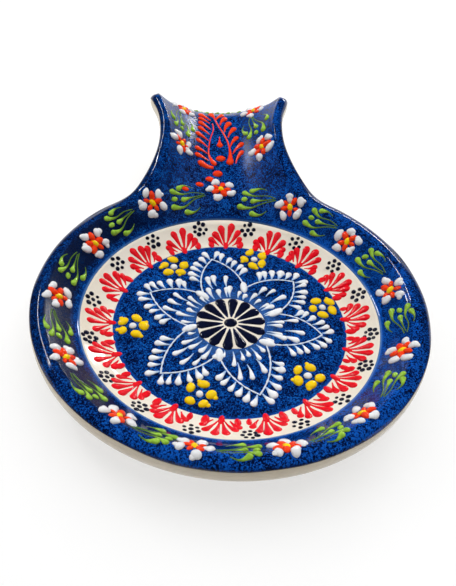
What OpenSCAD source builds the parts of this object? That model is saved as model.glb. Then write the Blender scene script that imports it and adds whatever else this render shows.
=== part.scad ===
// Spoon rest: a round ceramic dish whose rim runs into a raised, flared tongue that
// carries the spoon's handle. One clay body, three glaze coats and many enamel beads.
// Millimetres. +Z is up, +Y points from the dish to the tongue, the foot stands on z = 0.

/* [Dish] */
// Diameter of the dish over its rolled rim
dish_d = 140; // [130:0.5:150]
// Outer diameter of the cream ring, as a share of the dish's
ring_share = 0.77; // [0.75:0.005:0.79]
// Diameter of the flat cobalt centre, as a share of the cream ring's
centre_share = 0.79; // [0.77:0.005:0.81]
// Height of the cream ring's outer edge above the flat centre
ring_rise = 5; // [4:0.1:6]
// Height of the rim's crest above the flat centre
rim_rise = 14.4; // [13:0.1:16]
// Width of the rolled rim, from its outermost line inwards
lip_w = 6.2; // [5:0.1:7]
// Height of the rim's outer side, from its crest to the underside
side_h = 8.6; // [7.5:0.1:9.5]

/* [Foot] */
// Outer diameter of the foot ring, as a share of the cream ring's
foot_share = 0.965; // [0.9:0.005:0.98]
// Width of the foot ring's standing face
foot_w = 5; // [4:0.1:7]
// Depth of the recess inside the foot ring
foot_recess = 1.5; // [1:0.1:2.5]
// Thickness of the clay under the flat centre
floor_t = 4.5; // [3.5:0.1:6]

/* [Tongue] */
// Width of the neck at its narrowest
neck_w = 52.4; // [48:0.2:56]
// Distance of the narrowest neck beyond the dish's rim
neck_l = 18; // [15:0.5:22]
// Angle at which the sides flare out past the neck
flare_a = 18; // [12:1:24]
// Length of the straight flare before each ear
flare_l = 7; // [4:0.5:10]
// Radius of the ears in plan
ear_r = 4.8; // [3.5:0.1:6]
// Distance of the tongue's end beyond the dish's rim
end_l = 54; // [51:0.5:58]
// Height of the channel's crest above the flat centre
crest_rise = 17.6; // [16:0.1:20]
// Height of the ears above the flat centre
ear_rise = 32.4; // [29:0.1:35]

/* [Walls and glaze] */
// Thickness of the dish's wall
dish_wall = 7; // [6:0.1:8]
// Thickness of the tongue's wall
tongue_wall = 5; // [4:0.1:6]
// Thickness of the glaze coats
coat_t = 0.4; // [0.3:0.05:0.6]

/* [Enamel] */
// Diameter of the rosette's cream ground, as a share of the flat centre's
rosette_share = 0.294; // [0.27:0.002:0.3]
// Radius of the heads of the fine strokes
fine_r = 0.85; // [0.7:0.05:1]
// Radius of the heads of the leaf strokes
leaf_r = 0.95; // [0.8:0.05:1.1]
// Radius of a daisy's petals
petal_r = 1.6; // [1.3:0.05:1.75]
// Radius of the small round beads
dot_r = 0.72; // [0.6:0.02:0.8]
// Half width of the thin trailed lines
line_r = 0.42; // [0.3:0.02:0.5]

/* [Hidden] */
$fn = 96;
// points round the outline of one half: dish, neck, ear and end
dish_n = 32;
neck_n = 8;
ear_n = 4;
end_n = 4;
half_n = dish_n + neck_n + ear_n + end_n;
ring_n = 2 * half_n;
// step for slopes, and the room kept under each bead on a hollow surface
probe = 0.05;
lift = 0.15;
// the same on the neck and tongue, where the surface bends more
neck_lift = 0.28;
// how far the centre's coat stays back from the cream ring's edge
centre_gap = 0.15;

rim_r = dish_d / 2;
ring_r = rim_r * ring_share;
centre_r = ring_r * centre_share;
foot_r = ring_r * foot_share;
foot_drop = floor_t + foot_recess;
neck_r = neck_w / 2;
neck_y = rim_r + neck_l;
end_y = rim_r + end_l;
tongue_l = end_y - ring_r;

// The neck's concave side is an arc that leaves the dish's circle at a tangent.
fillet_r = (neck_y * neck_y - rim_r * rim_r + neck_r * neck_r) / (2 * (rim_r - neck_r));
fillet_x = neck_r + fillet_r;
join_a = atan2(neck_y, fillet_x);
join_y = rim_r * sin(join_a);
flare_y = neck_y + fillet_r * sin(flare_a);
flare_x = fillet_x - fillet_r * cos(flare_a);
ear_c = [
    flare_x + flare_l * sin(flare_a) - ear_r * cos(flare_a),
    flare_y + flare_l * cos(flare_a) + ear_r * sin(flare_a)
];
ear_turn = 96;
ear_y = ear_c[1];
ear_end = ear_c + ear_r * [cos(ear_turn - flare_a), sin(ear_turn - flare_a)];

// Tables of shares, chosen by eye from the photograph.
// cream ring: share of its width, share of its rise
ring_shares = [[0, 0], [0.18, 0.05], [0.55, 0.43], [1, 1]];
// dish wall up to the brink of the rolled rim
wall_shares = [[0.3, 0.28], [0.62, 0.62], [1, 1], [1.5, 1.4]];
// channel's centre line: share of the way from the ring to the end, share of the rise
channel_shares = [
    [0, 0], [0.17, 0.36], [0.37, 0.66], [0.57, 0.87], [0.73, 0.975],
    [0.82, 1], [0.9, 0.93], [0.96, 0.78], [1, 0.62], [1.09, 0.15]
];
// side edges: share of the way from the neck's start to the ear, share of the rise
edge_shares = [
    [-1, 0], [-0.45, 0], [-0.23, 0.01], [-0.1, 0.07], [0.04, 0.2], [0.18, 0.37], [0.32, 0.53],
    [0.47, 0.67], [0.61, 0.8], [0.75, 0.9], [0.88, 0.97], [1, 1], [1.1, 0.93], [1.2, 0.74], [1.36, 0.33]
];
// exponent of the channel's cross-section, and how far past the brink it still rises
hollow_power = 2.1;
hollow_reach = 1.3;
// where the dish's shape hands over to the channel's, as shares of the join's height
blend_shares = [0.55, 1.05];
// rolled rim: share of its width outwards, share of its side height up from the brink
rim_lip_shares = [
    [0.26, 0.115], [0.55, 0.09], [0.81, 0.01], [0.95, -0.1],
    [1, -0.26], [0.99, -0.47], [0.9, -0.7], [0.68, -0.88]
];
// the same for the tongue's steep sides
side_lip_shares = [
    [0.16, 0.1], [0.36, 0.09], [0.53, 0.01], [0.65, -0.12],
    [0.69, -0.28], [0.69, -0.44], [0.63, -0.58], [0.51, -0.69]
];
// and for the end that rolls over and down
end_lip_shares = [
    [0.2, -0.11], [0.39, -0.25], [0.53, -0.4], [0.61, -0.57],
    [0.6, -0.71], [0.49, -0.83], [0.3, -0.88], [0.06, -0.84]
];
// the brink lies this share of the rim's width inside the outermost line
side_brink_share = 0.69;
end_brink_share = 0.61;
brink_drop_share = 0.115;
// rows of the border between the ring and the brink
border_shares = [0.14, 0.28, 0.42, 0.56, 0.7, 0.82, 0.92, 1];
// rows of the underside, counted back from the brink
under_rows = [10, 8, 6, 4, 3];
lip_rows = len(rim_lip_shares);
ring_row = len(ring_shares) - 1;
brink_row = ring_row + len(border_shares);
// the cobalt coat ends on this row of the rolled rim
coat_row = brink_row + 4;
// waves of the coat's lower edge: their height, their number and the ratio of the finer ones
drip_share = 0.035;
drip_waves = 9;
drip_ratio = 2.3;
drip_row = 3;

function blend(a, b, t) = a * (1 - t) + b * t;
function ease(t) = let (q = min(max(t, 0), 1)) q * q * (3 - 2 * q);
function unit(v) = v / norm(v);
function polar(r, a) = [r * cos(a), r * sin(a)];
function chord(p, i) =
    let (a = p[max(i - 1, 0)], b = p[min(i + 1, len(p) - 1)]) (b[1] - a[1]) / (b[0] - a[0]);
function span(p, x, i = 0) = i >= len(p) - 2 || x < p[i + 1][0] ? i : span(p, x, i + 1);

// Smooth curve through the points of p, read at x.
function curve(p, x) =
    let (
        q = min(max(x, p[0][0]), p[len(p) - 1][0]),
        i = span(p, q),
        h = p[i + 1][0] - p[i][0],
        t = (q - p[i][0]) / h
    )
    (1 + 2 * t) * (1 - t) * (1 - t) * p[i][1] + t * (1 - t) * (1 - t) * h * chord(p, i)
    + t * t * (3 - 2 * t) * p[i + 1][1] + t * t * (t - 1) * h * chord(p, i + 1);

brink_rise = rim_rise - side_h * brink_drop_share;
brink_r = rim_r - lip_w;
dish_line = concat(
    [for (s = ring_shares) [blend(centre_r, ring_r, s[0]), ring_rise * s[1]]],
    [for (s = wall_shares) [blend(ring_r, brink_r, s[0]), blend(ring_rise, brink_rise, s[1])]]
);
channel_line = [
    for (s = channel_shares) [blend(ring_r, end_y, s[0]), blend(ring_rise, crest_rise, s[1])]
];
edge_line = [for (s = edge_shares) [blend(join_y, ear_y, s[0]), blend(rim_rise, ear_rise, s[1])]];

// How far the shape has gone from dish to tongue, 0 to 1, at a distance y from the centre.
function tongue_part(y) = ease((y - join_y) / (neck_y - join_y));
function brink_w(y) = lip_w * blend(1, side_brink_share, tongue_part(y));
function neck_reach(y) = fillet_x - sqrt(pow(fillet_r, 2) - pow(min(y, flare_y) - neck_y, 2));
function half_width(y) =
    (y < join_y ? sqrt(max(rim_r * rim_r - y * y, 0)) : neck_reach(y)) + max(y - flare_y, 0) * tan(flare_a);
function inner_w(y) = half_width(y) - brink_w(y);

function dish_z(r) = r <= centre_r ? 0 : curve(dish_line, r);
function channel_z(x, y) =
    let (low = curve(channel_line, y), high = curve(edge_line, y) - side_h * brink_drop_share)
    low + (high - low) * pow(min(abs(x) / inner_w(y), hollow_reach), hollow_power);

// Height of the clay's upper surface above the flat centre.
function top_z(p) =
    let (
        r = norm(p),
        w = r <= ring_r ? 0 : ease((r - ring_r) / (rim_r - ring_r))
            * ease((p[1] - join_y * blend_shares[0]) / (join_y * (blend_shares[1] - blend_shares[0])))
    )
    w == 0 ? dish_z(r) : blend(dish_z(r), channel_z(p[0], p[1]), w);

// Outline of the right half, from the near side of the dish to the middle of the end.
dish_side = [for (i = [0 : dish_n]) polar(rim_r, blend(-90, join_a, i / dish_n))];
neck_side = [
    for (i = [1 : neck_n])
        [fillet_x, neck_y] + polar(fillet_r, blend(180 + join_a, 180 - flare_a, i / neck_n))
];
ear_side = [for (i = [0 : ear_n - 1]) ear_c + polar(ear_r, -flare_a + ear_turn * i / (ear_n - 1))];
end_side = [
    for (i = [1 : end_n]) let (x = ear_end[0] * (1 - i / end_n))
        [x, blend(end_y, ear_end[1], pow(x / ear_end[0], 2))]
];
right_side = concat(dish_side, neck_side, ear_side, end_side);
left_side = [for (i = [half_n - 1 : -1 : 1]) [-right_side[i][0], right_side[i][1]]];
outline = concat(right_side, left_side);

function at(list, j) = list[(j + len(list)) % len(list)];
function outward(j) = let (t = unit(at(outline, j + 1) - at(outline, j - 1))) [t[1], -t[0]];
// Point number of the right half that mirrors point j.
function half_of(j) = j <= half_n ? j : ring_n - j;
function end_part(j) = ease((half_of(j) - dish_n - neck_n) / ear_n);
// Angle on the inner circles from which the border's row of points j starts.
function side_a(k) =
    k <= dish_n ? blend(-90, join_a, k / dish_n) : blend(join_a, 90, (k - dish_n) / (half_n - dish_n));
function start_a(j) = j <= half_n ? side_a(j) : 180 - side_a(half_of(j));

function brink(j) =
    let (o = at(outline, j), w = blend(brink_w(o[1]), lip_w * end_brink_share, end_part(j)))
    o - w * outward(j);
function lip_share(j, i) =
    let (o = at(outline, j), side = blend(rim_lip_shares[i], side_lip_shares[i], tongue_part(o[1])))
    blend(side, end_lip_shares[i], end_part(j));
function drip(j, i) =
    let (wave_a = drip_waves * 360 * j / ring_n)
    i == drip_row ? drip_share * (sin(wave_a) + sin(drip_ratio * wave_a) / 2) : 0;
function lip_point(j, i) =
    let (b = brink(j), s = lip_share(j, i), q = b + lip_w * s[0] * outward(j))
    [q[0], q[1], top_z(b) + side_h * (s[1] + (1 - end_part(j)) * drip(j, i))];

function on_top(p) = [p[0], p[1], top_z(p)];
function circle_point(r, z, j) = [r * cos(start_a(j)), r * sin(start_a(j)), z];
// A place a share s of the way from a, on the ring, to the brink b: straight on the dish,
// and following the narrowing sides on the tongue.
function row_place(a, b, s, j) =
    let (
        y = blend(a[1], b[1], s),
        x = blend(a[0] / inner_w(a[1]), b[0] / inner_w(b[1]), s) * inner_w(y)
    )
    blend(blend(a, b, s), [x, y], ease((half_of(j) - dish_n) / neck_n));
function ring_point(s, j) = circle_point(blend(centre_r, ring_r, s[0]), ring_rise * s[1], j);
function border_point(s, j) = on_top(row_place(polar(ring_r, start_a(j)), brink(j), s, j));
function top_point(row, j) =
    row <= ring_row ? ring_point(ring_shares[row], j)
    : row <= brink_row ? border_point(border_shares[row - ring_row - 1], j)
    : lip_point(j, row - brink_row - 1);

skin = [for (row = [0 : brink_row + lip_rows]) [for (j = [0 : ring_n - 1]) top_point(row, j)]];

function normal(row, j) =
    let (
        along = at(skin[row], j + 1) - at(skin[row], j - 1),
        across = skin[min(row + 1, len(skin) - 1)][j] - skin[max(row - 1, 0)][j]
    )
    unit(cross(across, along));
function raised(row, t) = [for (j = [0 : ring_n - 1]) skin[row][j] + t * normal(row, j)];
function circle_row(r, z) = [for (j = [0 : ring_n - 1]) circle_point(r, z, j)];
function wall_at(j) = blend(dish_wall, tongue_wall, tongue_part(at(outline, j)[1]));

under = concat(
    [for (row = under_rows) [for (j = [0 : ring_n - 1]) skin[row][j] - wall_at(j) * normal(row, j)]],
    [
        circle_row(foot_r, -foot_drop),
        circle_row(foot_r - foot_w, -foot_drop),
        circle_row(foot_r - foot_w - foot_recess, -floor_t)
    ]
);

// Triangles between two rows of ring_n points each, split the same way on both halves. A
// lower row that runs back inwards is split as the clay under it is.
function band(a, b, low = false) = [
    for (j = [0 : ring_n - 1])
        let (k = (j + 1) % ring_n, p = a * ring_n, q = b * ring_n)
        each ((j >= half_n) != low)
            ? [[p + j, q + j, p + k], [q + j, q + k, p + k]]
            : [[p + j, q + j, q + k], [p + j, q + k, p + k]]
];

// Closed solid from rows that run outwards over the top and back below.
module closed_rows(rows) {
    n = len(rows);
    points = [for (row = rows) each row];
    middles = [[0, 0, rows[0][0][2]], [0, 0, rows[n - 1][0][2]]];
    top_fan = [for (j = [0 : ring_n - 1]) [n * ring_n, j, (j + 1) % ring_n]];
    last = (n - 1) * ring_n;
    low_fan = [for (j = [0 : ring_n - 1]) [n * ring_n + 1, last + (j + 1) % ring_n, last + j]];
    bands = [for (i = [0 : n - 2]) each band(i, i + 1)];
    polyhedron(concat(points, middles), concat(top_fan, bands, low_fan));
}

// Coat on the rows from..to of the clay: raised rows outwards, then the clay's rows back.
module coat(from, to) {
    m = to - from + 1;
    rows = concat([for (i = [from : to]) raised(i, coat_t)], [for (i = [to : -1 : from]) skin[i]]);
    bands = [for (i = [0 : 2 * m - 1]) each band(i, (i + 1) % (2 * m), i >= m)];
    polyhedron([for (row = rows) each row], bands);
}

// Moves everything so that the box's middle lies over the origin and the foot on z = 0.
rim_points = concat(
    [for (row = [brink_row : coat_row]) each raised(row, coat_t)],
    [for (row = [coat_row : brink_row + lip_rows]) each skin[row]]
);
low_y = min([for (p = rim_points) p[1]]);
high_y = max([for (p = rim_points) p[1]]);
module in_frame() {
    translate([0, -(low_y + high_y) / 2, foot_drop])
        children();
}

// Upper surface of the coats, and the tilt that a bead takes on it.
function slope(p) = [
    (top_z(p + [probe, 0]) - top_z(p - [probe, 0])) / (2 * probe),
    (top_z(p + [0, probe]) - top_z(p - [0, probe])) / (2 * probe)
];
function up(p) = let (g = slope(p)) unit([-g[0], -g[1], 1]);
function room(p) = p[1] > join_y ? neck_lift : norm(p) < centre_r ? 0 : lift;
function seat(p) = [p[0], p[1], top_z(p)] + (coat_t + room(p)) * up(p);
// The place a length l from p along the surface, in the direction a as seen from above.
function walk(p, a, l) = let (d = polar(1, a), g = slope(p) * d) p + l / sqrt(1 + g * g) * d;

module on_coat(p, turn = 0) {
    n = up(p);
    lean_a = atan2(n[1], n[0]);
    translate(seat(p))
        rotate([0, acos(n[2]), lean_a])
            rotate([0, 0, turn - lean_a])
                children();
}

// Round bead: the cap of a ball, flat below.
dome_share = 0.7;
module bead(r) {
    h = r * dome_share;
    ball_r = (r * r + h * h) / (2 * h);
    intersection() {
        translate([0, 0, h - ball_r])
            sphere(ball_r);
        translate([-ball_r, -ball_r, 0])
            cube([2 * ball_r, 2 * ball_r, ball_r]);
    }
}

// Teardrop stroke: a bead over the origin, with a thinner tail that trails towards -X.
tail_root_share = 0.75;
tail_tip_share = 0.24;
tail_height_share = 0.36;
module drop(l, r) {
    root = r * tail_root_share;
    tip = r * tail_tip_share;
    bead(r);
    linear_extrude(r * tail_height_share)
        polygon([[0, root], [r - l, tip], [r - l, -tip], [0, -root]]);
}

// Thin line trailed over the coat through the places in p.
line_shares = [[-1, 0], [1, 0], [0.75, 0.62], [0, 1], [-0.75, 0.62]];
function line_ring(p, i, w) =
    let (
        n = up(p[i]),
        along = unit(seat(p[min(i + 1, len(p) - 1)]) - seat(p[max(i - 1, 0)])),
        side = cross(along, n)
    )
    [for (s = line_shares) seat(p[i]) + w * (s[0] * side + s[1] * n)];
module trailed_line(p, w) {
    m = len(line_shares);
    last = (len(p) - 1) * m;
    points = [for (i = [0 : len(p) - 1]) each line_ring(p, i, w)];
    sides = [for (i = [0 : len(p) - 2], k = [0 : m - 1])
        let (q = (k + 1) % m, o = i * m) each [[o + k, o + q, o + m + q], [o + k, o + m + q, o + m + k]]];
    caps = [for (k = [1 : m - 2]) each [[0, k + 1, k], [last, last + k, last + k + 1]]];
    polyhedron(points, concat(sides, caps));
}

// Rosette in the dish's middle; its petals in shares of its radius.
rosette_r = centre_r * rosette_share;
rosette_n = 14;
rosette_petal_share = 0.12;
rosette_length_share = 0.672;
rosette_head_share = 0.824;
rosette_eye_share = 0.12;

// White star of six petals round the rosette, in shares of the flat centre's radius.
star_tip_share = 0.789;
star_notch_share = 0.409;
star_tip_as = [98, 40, -11, -77, -138, 152];
star_notch_as = [124, 70, 16, -40, -109, -174];
star_n = len(star_tip_as);
star_bulge_share = 0.056;
star_notch_gap_share = 0.033;
star_tip_gap_share = 0.0165;
// strokes along its edges: their length, their lean and where they start on the edge
star_stroke_n = 6;
star_length_share = 0.087;
star_lean = 14;
star_start_share = 0.31;
star_first_share = 0.3;
star_off_share = 0.02;
// blobs in its notches, and the strokes inside its petals
blob_share = 0.029;
inner_place_share = 0.404;
inner_length_share = 0.0915;
inner_spread = 13;
vein_place_share = 0.517;
vein_length_share = 0.103;
vein_spread = 6.5;

// Yellow flowers between the star's tips, in shares of the flat centre's radius.
yellow_as = [124, 70.5, 13.5, -44.5, -108.5, 182];
yellow_place_share = 0.855;
yellow_ring_share = 0.0646;
yellow_length_share = 0.061;
yellow_petal_share = 0.0282;
yellow_eye_share = 0.0258;
yellow_n = 5;

// Cream ring: red fans and navy dot flowers take turns; shares of the ring's width.
ring_w = ring_r - centre_r;
fan_n = 17;
fan_step = 360 / fan_n;
fan_root_share = 0.133;
fan_turns = [-58, -30, 0, 30, 58];
fan_reach_shares = [0.38, 0.504, 0.575, 0.504, 0.38];
fan_start_share = 0.168;
fan_side_share = 0.486;
fan_side_length_share = 0.24;
fan_side_turn = 32;
dot_place_share = 0.735;
dot_ring_share = 2.43;
dots_n = 6;

// Border and tongue: daisies and leaf sprays.
daisy_n = 13;
daisy_step = 360 / daisy_n;
daisy_place_share = 0.576;
daisy_out_share = 0.117;
daisy_spread = 24;
// parts of a daisy, in shares of its petals' radius
daisy_petals_n = 5;
petal_ring_share = 2.44;
heart_ring_share = 1.31;
heart_share = 0.53;
eye_share = 0.66;
// strokes of a leaf spray, in shares of its longest: place along it, place across it and
// length, then the heading and the share of the head's radius
spray_l = 8.2;
spray_strokes = [
    [0.44, 0.29, 0.93, 14, 1], [0.49, 0, 1, 0, 1], [0.41, -0.28, 0.9, -14, 0.95],
    [-0.05, 0.39, 0.41, 22, 0.8], [-0.15, -0.35, 0.39, -26, 0.75], [0.75, 0.15, 0.17, 6, 0.7]
];
// places on the tongue: share of the neck's inner half width, share of the tongue's length
tongue_daisy_shares = [[-0.775, 0.478], [0.775, 0.478], [-0.748, 0.823], [0.748, 0.823]];
tongue_spray_shares = [[-0.766, 0.649], [0.766, 0.649]];
tongue_spray_share = 0.82;

// Red feather on the tongue: stems, strokes and the dots that lead down to the dish.
stem_left_shares = [
    [-0.073, 0.8], [-0.119, 0.715], [-0.164, 0.629], [-0.196, 0.544], [-0.201, 0.465], [-0.164, 0.415]
];
stem_right_shares = [
    [-0.014, 0.815], [0.055, 0.736], [0.128, 0.658], [0.192, 0.579], [0.224, 0.501], [0.228, 0.429]
];
feather_n = 8;
feather_low_share = 0.395;
feather_step_share = 0.06;
feather_left_share = -0.392;
feather_right_share = 0.406;
feather_narrow_share = 0.012;
feather_l = 3.6;
feather_left_a = 158;
feather_right_a = 46;
feather_heart_l = 4.2;
feather_heart_shares = [0.023, 0.558];
// place on the tongue, and share of the leaf strokes' radius
feather_dot_shares = [
    [0.018, 0.409, 1.58], [-0.018, 0.324, 1.42], [-0.237, 0.295, 1.32], [-0.429, 0.235, 1.16],
    [-0.128, 0.381, 1.42], [0.21, 0.387, 1.58]
];

function border_r(a) =
    blend(ring_r, brink_r, daisy_place_share)
    + tongue_l * daisy_out_share * exp(-pow((a - 90) / daisy_spread, 2));
function border_place(a) = polar(border_r(a), a);
function border_a(i) = 90 + daisy_step * (i - (daisy_n - 1) / 2);
border_daisies = [for (i = [0 : daisy_n - 1]) [border_place(border_a(i)), border_a(i)]];
border_sprays = [for (i = [0 : daisy_n - 1]) let (a = border_a(i) - daisy_step / 2) [border_place(a), a]];
function on_tongue(s) = [s[0] * inner_w(neck_y), ring_r + s[1] * tongue_l];

module daisy_petals(p, a) {
    for (i = [0 : daisy_petals_n - 1])
        on_coat(walk(p, a + 360 * i / daisy_petals_n, petal_r * petal_ring_share))
            bead(petal_r);
}
module daisy_hearts(p, a) {
    for (i = [0 : daisy_petals_n - 1])
        on_coat(walk(p, a + 360 * (i + 0.5) / daisy_petals_n, petal_r * heart_ring_share))
            bead(petal_r * heart_share);
}
module daisy_eye(p) {
    on_coat(p)
        bead(petal_r * eye_share);
}
// Leaf spray with its heads towards the direction a.
module leaf_spray(p, a, share = 1) {
    l = spray_l * share;
    for (s = spray_strokes) {
        q = walk(walk(p, a, s[0] * l), a + 90, s[1] * l);
        on_coat(q, a + s[3])
            drop(s[2] * l, leaf_r * share * s[4]);
    }
}

module ceramic_body() {
    color("#efe7d6")
        in_frame()
            closed_rows(concat(skin, under));
}

module cobalt_border_glaze() {
    color("#123f94")
        in_frame()
            coat(ring_row, coat_row);
}

module cream_ring_glaze() {
    color("#f3ebdb")
        in_frame()
            coat(0, ring_row);
}

module cobalt_centre_glaze() {
    color("#14479f")
        in_frame()
            cylinder(h = coat_t, r = centre_r * cos(180 / ring_n) - centre_gap);
}

module rosette_ground() {
    color("#f3ebdb")
        in_frame()
            translate([0, 0, coat_t])
                cylinder(h = coat_t, r = rosette_r);
}

module rosette_petals() {
    color("#0e1433")
        in_frame()
            translate([0, 0, coat_t])
                for (i = [0 : rosette_n - 1])
                    let (a = 360 * i / rosette_n)
                        on_coat(polar(rosette_r * rosette_head_share, a), a)
                            drop(rosette_r * rosette_length_share, rosette_r * rosette_petal_share);
}

module rosette_eye() {
    color("#0e1433")
        in_frame()
            translate([0, 0, coat_t])
                on_coat([0, 0])
                    bead(rosette_r * rosette_eye_share);
}

module navy_dot_flowers() {
    color("#0e1433")
        in_frame()
            for (i = [0 : fan_n - 1]) {
                a = 90 + fan_step * (i + 0.5);
                middle = polar(blend(centre_r, ring_r, dot_place_share), a);
                on_coat(middle)
                    bead(dot_r);
                for (k = [0 : dots_n - 1])
                    on_coat(walk(middle, a + 360 * k / dots_n, dot_r * dot_ring_share))
                        bead(dot_r);
            }
}

module red_fan_strokes() {
    color("#c4122c")
        in_frame()
            for (i = [0 : fan_n - 1]) {
                a = 90 + fan_step * i;
                root = polar(blend(centre_r, ring_r, fan_root_share), a);
                for (k = [0 : len(fan_turns) - 1]) {
                    reach = ring_w * fan_reach_shares[k];
                    on_coat(walk(root, a + fan_turns[k], reach), a + fan_turns[k])
                        drop(reach - ring_w * fan_start_share + fine_r, fine_r);
                }
                for (side = [-1, 1]) {
                    q = walk(root, a + 90 * side, ring_w * fan_side_share);
                    on_coat(walk(q, a, fine_r), a + side * fan_side_turn)
                        drop(ring_w * fan_side_length_share, fine_r);
                }
            }
}

// Edge of petal i of the star on one side, an arc from its notch to its tip.
star_bulge = centre_r * star_bulge_share;
function notch_at(i, side) =
    polar(centre_r * star_notch_share, star_notch_as[side < 0 ? (i + 1) % star_n : i]);
function tip_at(i) = polar(centre_r * star_tip_share, star_tip_as[i]);
function edge_r(a, b) = (pow(norm(b - a) / 2, 2) + star_bulge * star_bulge) / (2 * star_bulge);
function edge_sweep(a, b) = 2 * asin(norm(b - a) / 2 / edge_r(a, b));
// The place a share t along the bulging edge, and the arc's middle.
function edge_c(a, b, side) =
    let (d = unit(b - a), r = edge_r(a, b)) (a + b) / 2 - side * (r - star_bulge) * [-d[1], d[0]];
function edge_place(a, b, side, t) =
    let (c = edge_c(a, b, side), v = a - c, w = -side * edge_sweep(a, b) * t)
    c + [v[0] * cos(w) - v[1] * sin(w), v[0] * sin(w) + v[1] * cos(w)];

module white_star_outline() {
    color("#f5f5f2")
        in_frame()
            translate([0, 0, coat_t])
                for (i = [0 : star_n - 1], side = [-1, 1]) {
                    a = notch_at(i, side);
                    b = tip_at(i);
                    c = edge_c(a, b, side);
                    notch_trim = centre_r * star_notch_gap_share / edge_r(a, b) * 180 / PI;
                    tip_trim = centre_r * star_tip_gap_share / edge_r(a, b) * 180 / PI;
                    from = side > 0 ? edge_place(a, b, side, 1) - c : a - c;
                    translate([c[0], c[1], 0])
                        rotate([0, 0, atan2(from[1], from[0]) + (side > 0 ? tip_trim : notch_trim)])
                            rotate_extrude(angle = edge_sweep(a, b) - notch_trim - tip_trim)
                                translate([edge_r(a, b), 0])
                                    polygon([for (s = line_shares) line_r * s]);
                }
}

module white_star_strokes() {
    l = centre_r * star_length_share;
    color("#f5f5f2")
        in_frame()
            for (i = [0 : star_n - 1], side = [-1, 1], k = [0 : star_stroke_n - 1]) {
                a = notch_at(i, side);
                b = tip_at(i);
                t = blend(star_start_share, 1, (k + star_first_share) / star_stroke_n);
                q = edge_place(a, b, side, t);
                out = q - edge_c(a, b, side);
                way = atan2(out[1], out[0]) - side * star_lean;
                on_coat(q + polar(centre_r * star_off_share + l - fine_r, way), way)
                    drop(l, fine_r);
            }
}

module white_inner_strokes() {
    color("#f5f5f2")
        in_frame() {
            for (a = star_notch_as)
                on_coat(polar(centre_r * (star_notch_share - blob_share / 2), a))
                    bead(centre_r * blob_share);
            for (tip_a = star_tip_as, k = [-1, 0, 1]) {
                a = tip_a + inner_spread * k;
                on_coat(polar(centre_r * inner_place_share, a), a)
                    drop(centre_r * inner_length_share, fine_r);
            }
            for (tip_a = star_tip_as, side = [-1, 1]) {
                a = tip_a + vein_spread * side;
                on_coat(polar(centre_r * vein_place_share, a), a)
                    drop(centre_r * vein_length_share, fine_r);
            }
        }
}

module yellow_flower_petals() {
    color("#f2b90f")
        in_frame()
            for (a = yellow_as, k = [0 : yellow_n - 1]) {
                way = a + 180 + 360 * k / yellow_n;
                on_coat(centre_r * (polar(yellow_place_share, a) + polar(yellow_ring_share, way)), way)
                    drop(centre_r * yellow_length_share, centre_r * yellow_petal_share);
            }
}

module white_flower_eyes() {
    color("#f5f5f2")
        in_frame()
            for (a = yellow_as)
                on_coat(polar(centre_r * yellow_place_share, a))
                    bead(centre_r * yellow_eye_share);
}

module border_daisy_petals() {
    color("#f5f5f2")
        in_frame()
            for (d = border_daisies)
                daisy_petals(d[0], d[1]);
}

module border_daisy_hearts() {
    color("#e63a10")
        in_frame()
            for (d = border_daisies)
                daisy_hearts(d[0], d[1]);
}

module border_daisy_eyes() {
    color("#f2b90f")
        in_frame()
            for (d = border_daisies)
                daisy_eye(d[0]);
}

module border_leaf_sprays() {
    color("#6f9f22")
        in_frame()
            for (d = border_sprays)
                leaf_spray(d[0], d[1] + 90);
}

module tongue_daisy_petals() {
    color("#f5f5f2")
        in_frame()
            for (s = tongue_daisy_shares)
                daisy_petals(on_tongue(s), 90);
}

module tongue_daisy_hearts() {
    color("#e63a10")
        in_frame()
            for (s = tongue_daisy_shares)
                daisy_hearts(on_tongue(s), 90);
}

module tongue_daisy_eyes() {
    color("#f2b90f")
        in_frame()
            for (s = tongue_daisy_shares)
                daisy_eye(on_tongue(s));
}

module tongue_leaf_sprays() {
    color("#6f9f22")
        in_frame()
            for (s = tongue_spray_shares)
                leaf_spray(on_tongue(s), -90, tongue_spray_share);
}

module tongue_feather_stems() {
    color("#e63a10")
        in_frame() {
            trailed_line([for (s = stem_left_shares) on_tongue(s)], line_r);
            trailed_line([for (s = stem_right_shares) on_tongue(s)], line_r);
        }
}

module tongue_feather_strokes() {
    color("#e63a10")
        in_frame() {
            for (k = [0 : feather_n - 1]) {
                y_share = feather_low_share + k * feather_step_share;
                narrow = 1 - feather_narrow_share * k * k;
                on_coat(on_tongue([feather_left_share * narrow, y_share]), feather_left_a)
                    drop(feather_l, fine_r);
                on_coat(on_tongue([feather_right_share * narrow, y_share]) + [0, fine_r], feather_right_a)
                    drop(feather_l, fine_r);
            }
            on_coat(on_tongue(feather_heart_shares), -90)
                drop(feather_heart_l, leaf_r);
            for (s = feather_dot_shares)
                on_coat(on_tongue(s))
                    bead(leaf_r * s[2]);
        }
}

ceramic_body();
cobalt_border_glaze();
cream_ring_glaze();
cobalt_centre_glaze();
rosette_ground();
rosette_petals();
rosette_eye();
navy_dot_flowers();
red_fan_strokes();
white_star_outline();
white_star_strokes();
white_inner_strokes();
yellow_flower_petals();
white_flower_eyes();
border_daisy_petals();
border_daisy_hearts();
border_daisy_eyes();
border_leaf_sprays();
tongue_daisy_petals();
tongue_daisy_hearts();
tongue_daisy_eyes();
tongue_leaf_sprays();
tongue_feather_stems();
tongue_feather_strokes();
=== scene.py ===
"""A painted ceramic spoon rest, dressed over its CAD frame.

The clay and its glaze coats are lofted finely from the same sizes as the CAD solids. The
raised enamel is trailed over the glaze stroke by stroke. Lengths in the classes are in
millimetres, measured from the dish's centre on the flat floor of the dish, with +Y towards
the tongue; meshes are written in metres in the frame of the CAD model.
"""

from __future__ import annotations

import logging
import math
from dataclasses import dataclass, field
from enum import Enum
from typing import Any, Callable, Sequence, Union

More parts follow.
